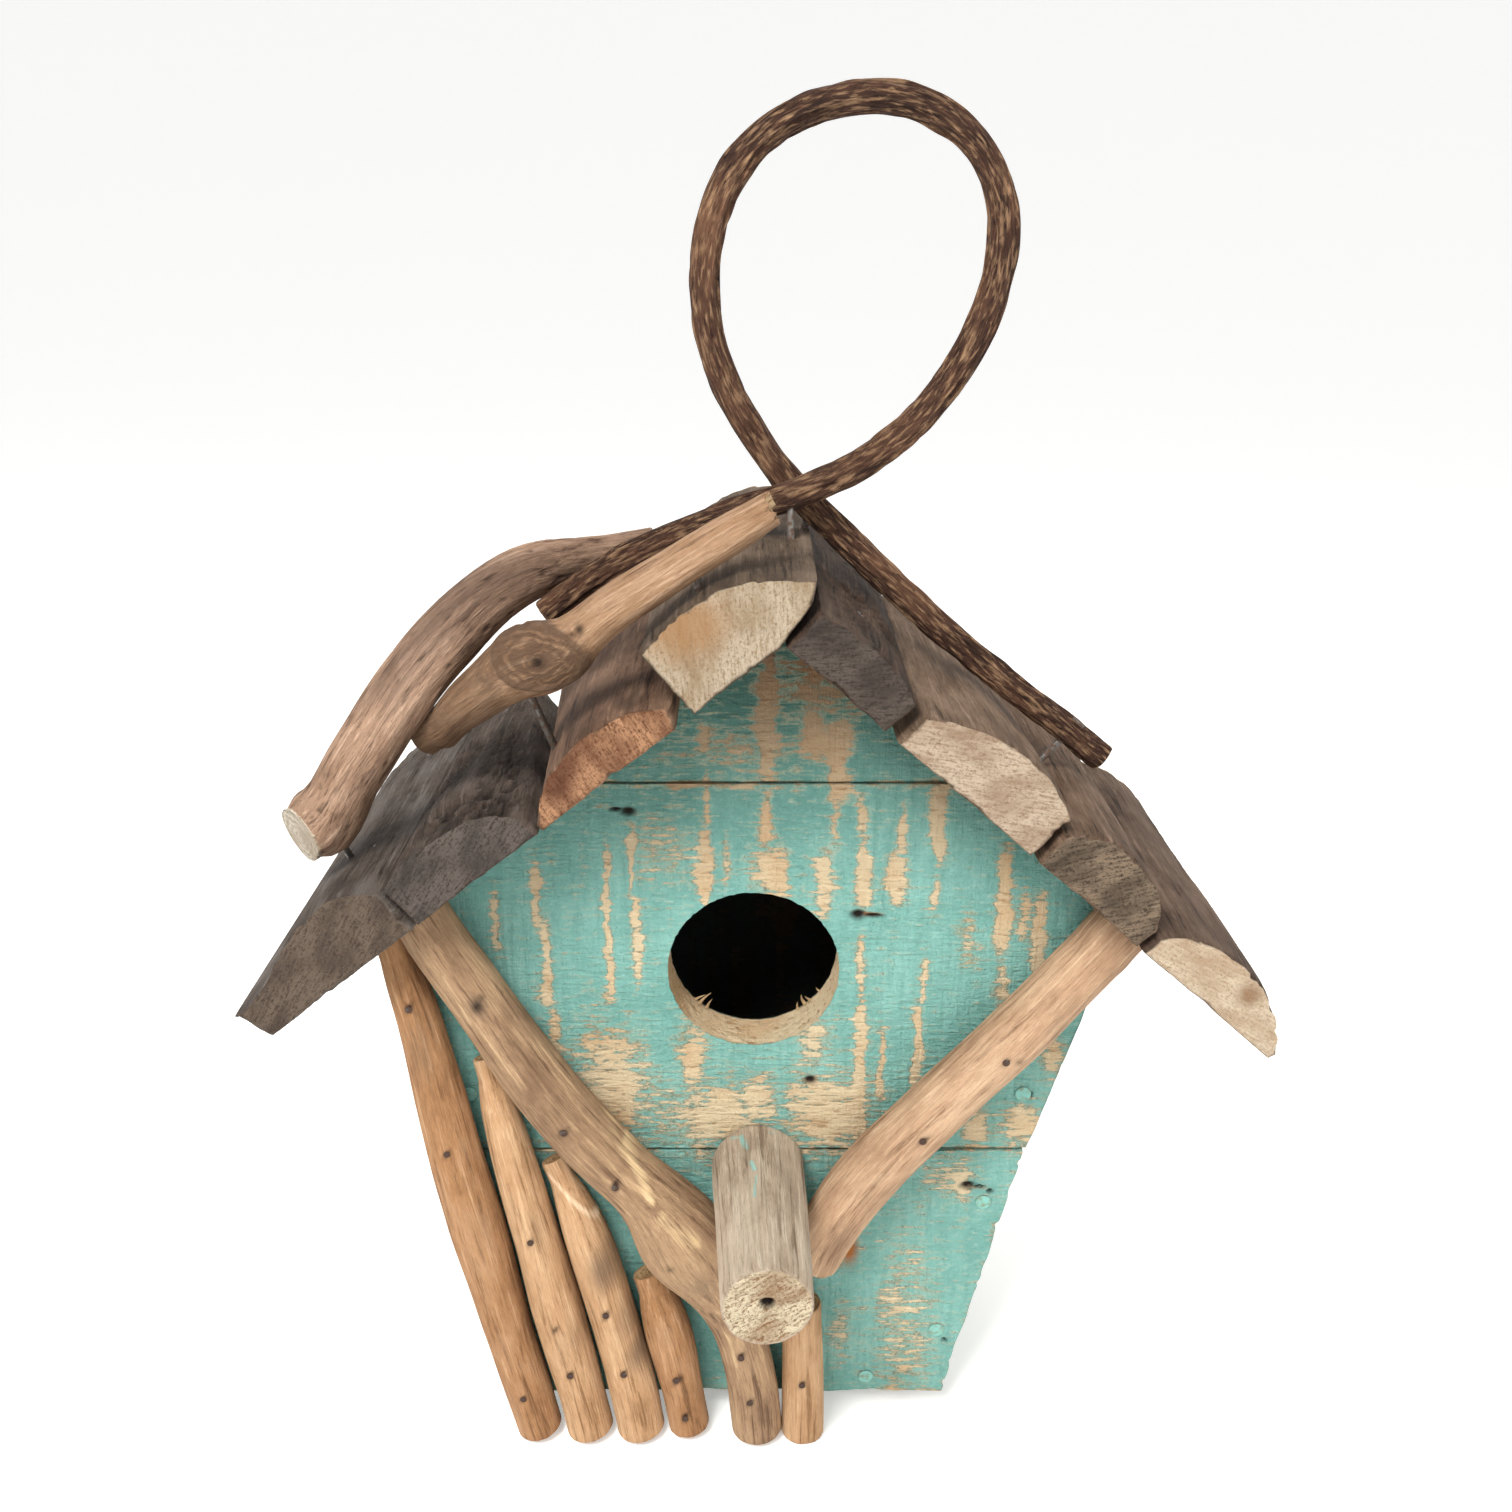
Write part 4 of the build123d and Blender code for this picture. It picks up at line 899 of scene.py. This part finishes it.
# ---- roof branches ---------------------------------------------------------------------
# A straw-coloured branch with a big healed knot lies across the front of the left slope,
# and a bent brown one behind it. Each is nailed to the slats.
straw_wood = weathered("knotted_driftwood", "#B8977A", "#967456", "#644732", "#D6BA92", "#8E6A46", fibre=0.9,
                       stretch=0.05, depth=0.6, rings=1.4, speck=0.35, crack=0.35, stain="#4E3A2C")
line, radii = centre_line("knotted_branch", 0, margin=4)
turn = np.linspace(0, 2 * math.pi, 96, endpoint=False)
jagged = 3.2 * noise(np.stack([5 * np.cos(turn), 5 * np.sin(turn), 0 * turn], -1), 1.7, 1.3)
grid, grain, on_end = stick(line, radii, columns=96, step=0.6, seed=9.1, trims=(0, jagged))
knots = [(-42.3, 75.4, 1.3, 1.3, 1.0), (-33.8, 82.3, 1.0, 1.2, .9), (-35.2, 81.2, .8, .6, .7)]
facing = grid[..., 1] < grid[..., 1].mean(1, keepdims=True)
out_of_scar = np.hypot((grid[..., 0] + 42.3) / 9.0, (grid[..., 2] - 75.6) / 6.0)
rim = np.exp(-((out_of_scar - 1) / 0.13) ** 2) * facing
folds = 0.5 + 0.5 * np.cos(2 * math.pi * (4.3 * out_of_scar + 1.6 * noise(grid, 2.2, 2.6)))
scar = np.clip(1.6 - out_of_scar, 0, 1) * facing
grid = grid - normals(grid) * (0.3 * folds * (out_of_scar < 1) * facing - 0.6 * rim)[..., None]
left_part = np.clip((-48 - grid[..., 0]) / 8, 0, 0.55)
scar_stain = scar * (0.5 + 0.5 * folds) + 0.5 * rim
fields = {"grain": grain, "cut": on_end, "rubbed": 0.0 * on_end,
          "dark": np.clip(blots(grid, knots), 0, .95),
          "stain": np.clip(np.maximum(scar_stain, left_part), 0, 0.9) * (1 - on_end)}
piece = skin("knotted_branch_driftwood", grid, fields, straw_wood)
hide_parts("knotted_branch")

brown_wood = weathered("pitted_driftwood_brown", "#CCAA90", "#A5846B", "#5A4234", "#EEE2CE", "#BCA68A",
                       fibre=0.75, stretch=0.12, depth=1.0, rings=1.6, speck=0.7, crack=0.35,
                       pale="#C9A88A", stain="#5E4A3E")
line, radii = centre_line("bent_branch", 0, margin=6)
line[0] += 12 * (line[0] - line[1]) / np.linalg.norm(line[0] - line[1])
sawn_at = (np.array([-96.8, 1.6, 29.0]), np.array([-0.72, -0.62, -0.3]))
grid, grain, on_end = stick(line, radii, columns=96, step=0.7, seed=13.7, lumps=0.8, ridges=0.25,
                            limit=sawn_at)
pits = np.clip(3.2 * noise(grain, (0.9, 0.9, 2.2), 4.4) - 2.4, 0, 0.7) * (1 - on_end)
grid = grid - normals(grid) * (0.6 * pits)[..., None]
fields = {"grain": grain, "cut": on_end, "rubbed": 0.0 * on_end, "dark": pits,
          "stain": np.clip(1.6 * noise(grain, (7, 7, 22), 3.3) - 0.7, 0, 0.7) * (1 - on_end)}
piece = skin("bent_branch_driftwood", grid, fields, brown_wood)
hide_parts("bent_branch")

# ---- handle: the vine loop -------------------------------------------------------------
# One woody vine stem, bent green and dried, its bark left on. The two legs cross over the
# ridge and are nailed down. Its route is the CAD stem's own.
vine_route = np.array([
    (-45.0, 17.5, 77.0), (-35.1, 18.2, 84.4), (-24.3, 18.8, 90.7), (-6.0, 19.4, 98.2), (9.9, 19.7, 102.7),
    (22.9, 20.0, 108.9), (35.0, 20.7, 118.0), (44.8, 21.6, 131.8), (50.4, 22.4, 147.4), (50.2, 23.2, 161.2),
    (44.2, 24.0, 172.2), (34.0, 24.8, 178.6), (21.5, 25.0, 180.2), (7.6, 25.8, 176.8), (-3.2, 26.4, 168.4),
    (-9.2, 27.0, 156.0), (-10.6, 27.5, 141.2), (-6.9, 28.0, 126.0), (1.0, 28.4, 112.0), (10.2, 28.6, 100.8),
    (21.3, 27.2, 90.2), (36.7, 24.2, 76.2), (54.2, 20.8, 62.0), (67.0, 19.0, 52.6), (78.2, 18.0, 43.9),
])
vine_radius = 3.7


def rounded(route, count=14):
    """A smooth line: between the middles of two runs it is a parabola whose control point
    is the corner between them, and its first and last runs go straight to the ends."""
    middles = (route[1:] + route[:-1]) / 2
    t = np.linspace(0, 1, count, endpoint=False)[None, :, None]
    curve = ((1 - t) ** 2 * middles[:-1, None] + 2 * t * (1 - t) * route[1:-1, None]
             + t ** 2 * middles[1:, None])
    return np.vstack([route[:1], curve.reshape(-1, 3), middles[-1:], route[-1:]])


bark = weathered("vine_bark", "#8C644A", "#54382A", "#26160F", "#B88E62", "#6E4A30",
                 fibre=1.8, stretch=0.18, depth=1.3, rings=1.2, speck=0.6, crack=0.6, pale="#BC9570")
line = rounded(vine_route)
grid, grain, on_end = stick(line, np.full(len(line), vine_radius), step=0.7, columns=80, seed=5.9,
                            lumps=0.5, ridges=0.0)
furrow = noise(grain, (0.9, 0.9, 9), 6.6) + 0.7 * noise(grain, (0.6, 0.6, 4.5), 9.9)
centre = grid.mean(1, keepdims=True)
grid = centre + (grid - centre) * (1 - 0.75 * (furrow * (1 - on_end) / vine_radius))[..., None]
fields = {"grain": grain, "cut": on_end, "stain": 0.0 * on_end, "dark": 0.0 * on_end,
          "rubbed": 0.2 + 0.4 * noise(grain, (0.6, 0.6, 2.2), 8.1)}
piece = skin("handle_vine_stem", grid, fields, bark)
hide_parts("handle_vine")


# ---- nails, brads and screws -----------------------------------------------------------
# Wire nails and screws keep their own shapes and only get their metal: dull steel, spotted
# with rust. The brads are rustier and nearly black.
def nail_steel(name, bright, rusty, rust_share, metal=0.95):
    """Drawn steel wire, dulled by weather or brushed over with the paint: rust covers it
    where slow noise is high."""
    material, tree, shader = new_material(name)
    spots = add(tree, "TexCoord").node.outputs["Object"]
    blotch = add(tree, "TexNoise", Vector=spots, Scale=900.0, Detail=4.0)
    rust = add(tree, "ValToRGB", Fac=blotch, stops=[(0.6 - rust_share, 0.0), (0.8 - rust_share, 1.0)])
    colour = add(tree, "Mix", data_type="RGBA", in_0=rust, in_6=bright, in_7=rusty)
    metallic = add(tree, "MapRange", in_0=rust, in_3=metal, in_4=0.1 * metal)
    roughness = add(tree, "MapRange", in_0=rust, in_3=0.8 - 0.45 * metal, in_4=0.85)
    for socket, value in (("Base Color", colour), ("Metallic", metallic), ("Roughness", roughness)):
        tree.links.new(value, shader.inputs[socket])
    return material


wire_steel = nail_steel("weathered_wire_steel", "#77746F", "#4E382A", 0.2)
rusty_brad = nail_steel("rusted_brad_steel", "#5A5550", "#3A2519", 0.35)
painted_steel = nail_steel("painted_nail_steel", "#6FA499", "#6B7A66", 0.15, metal=0.0)
for node, steel in (("roof_nails", wire_steel), ("handle_nails", wire_steel), ("branch_nails", wire_steel),
                    ("box_nails", painted_steel), ("stick_brads", rusty_brad), ("cleanout_screw", wire_steel),
                    ("perch_screw", wire_steel)):
    mesh = frame["nodes"][node].data
    mesh.materials.clear()
    mesh.materials.append(steel)

# ---- studio: pale floor and soft light --------------------------------------------------
# A wide pale paper floor that curves up far away and glows a little, a strong soft light
# high in front on the left, weaker ones in front on the right and behind, and an even glow.
turn = np.linspace(0, 2 * math.pi, 96, endpoint=False)
reach = np.concatenate([np.linspace(50, 1500, 20), np.linspace(1600, 6000, 40)])[:, None]
lift = 0.00012 * np.clip(reach - 1500, 0, None) ** 2
stage_level = (cad_bounds[0][2] - entrance_place[2]) * 1000 - 0.2
floor_grid = np.stack([reach * np.cos(turn), reach * np.sin(turn), stage_level + lift + 0 * turn], -1)
floor_mesh = bpy.data.meshes.new("studio_floor")
rows, columns = floor_grid.shape[:2]
number = np.arange(rows * columns).reshape(rows, columns)
quads = np.stack([number[:-1], number[1:], np.roll(number[1:], -1, 1), np.roll(number[:-1], -1, 1)], -1)
floor_mesh.from_pydata(place(floor_grid.reshape(-1, 3)).tolist(), [],
                       quads.reshape(-1, 4).tolist() + [number[0].tolist()])
floor_mesh.polygons.foreach_set("use_smooth", np.ones(len(floor_mesh.polygons), bool))
paper, tree, shader = new_material("matt_white_paper")
tooth = add(tree, "TexNoise", Vector=add(tree, "TexCoord").node.outputs["Object"], Scale=400.0, Detail=2.0)
tree.links.new(add(tree, "Bump", Strength=0.05, Distance=0.0002, Height=tooth), shader.inputs["Normal"])
shader.inputs["Base Color"].default_value = linear("#F4F4F2")
shader.inputs["Roughness"].default_value = 0.9
shader.inputs["Emission Color"].default_value = linear("#FFFFFF")
shader.inputs["Emission Strength"].default_value = 0.3
floor_mesh.materials.append(paper)
floor = bpy.data.objects.new("studio_floor", floor_mesh)
bpy.context.scene.collection.objects.link(floor)


def soft_light(name, spot, power, size):
    """A square area light at a place, turned to face the front wall."""
    data = bpy.data.lights.new(name, "AREA")
    data.energy, data.size = power, size
    light = bpy.data.objects.new(name, data)
    light.location = place(spot)
    way = light.location - Vector(place((0, 20, 0)))
    light.rotation_euler = way.to_track_quat("Z", "Y").to_euler()
    bpy.context.scene.collection.objects.link(light)


soft_light("key_light", (-300, -560, 780), 15.0, 0.4)
soft_light("fill_light", (600, -650, 250), 2.5, 0.7)
soft_light("back_light", (100, 700, 700), 3.0, 0.7)
world = bpy.data.worlds.new("studio_glow")
world.use_nodes = True
world.node_tree.nodes["Background"].inputs["Color"].default_value = linear("#FFFFFF")
world.node_tree.nodes["Background"].inputs["Strength"].default_value = 0.62
bpy.context.scene.world = world
bpy.context.scene.view_settings.view_transform = "Standard"
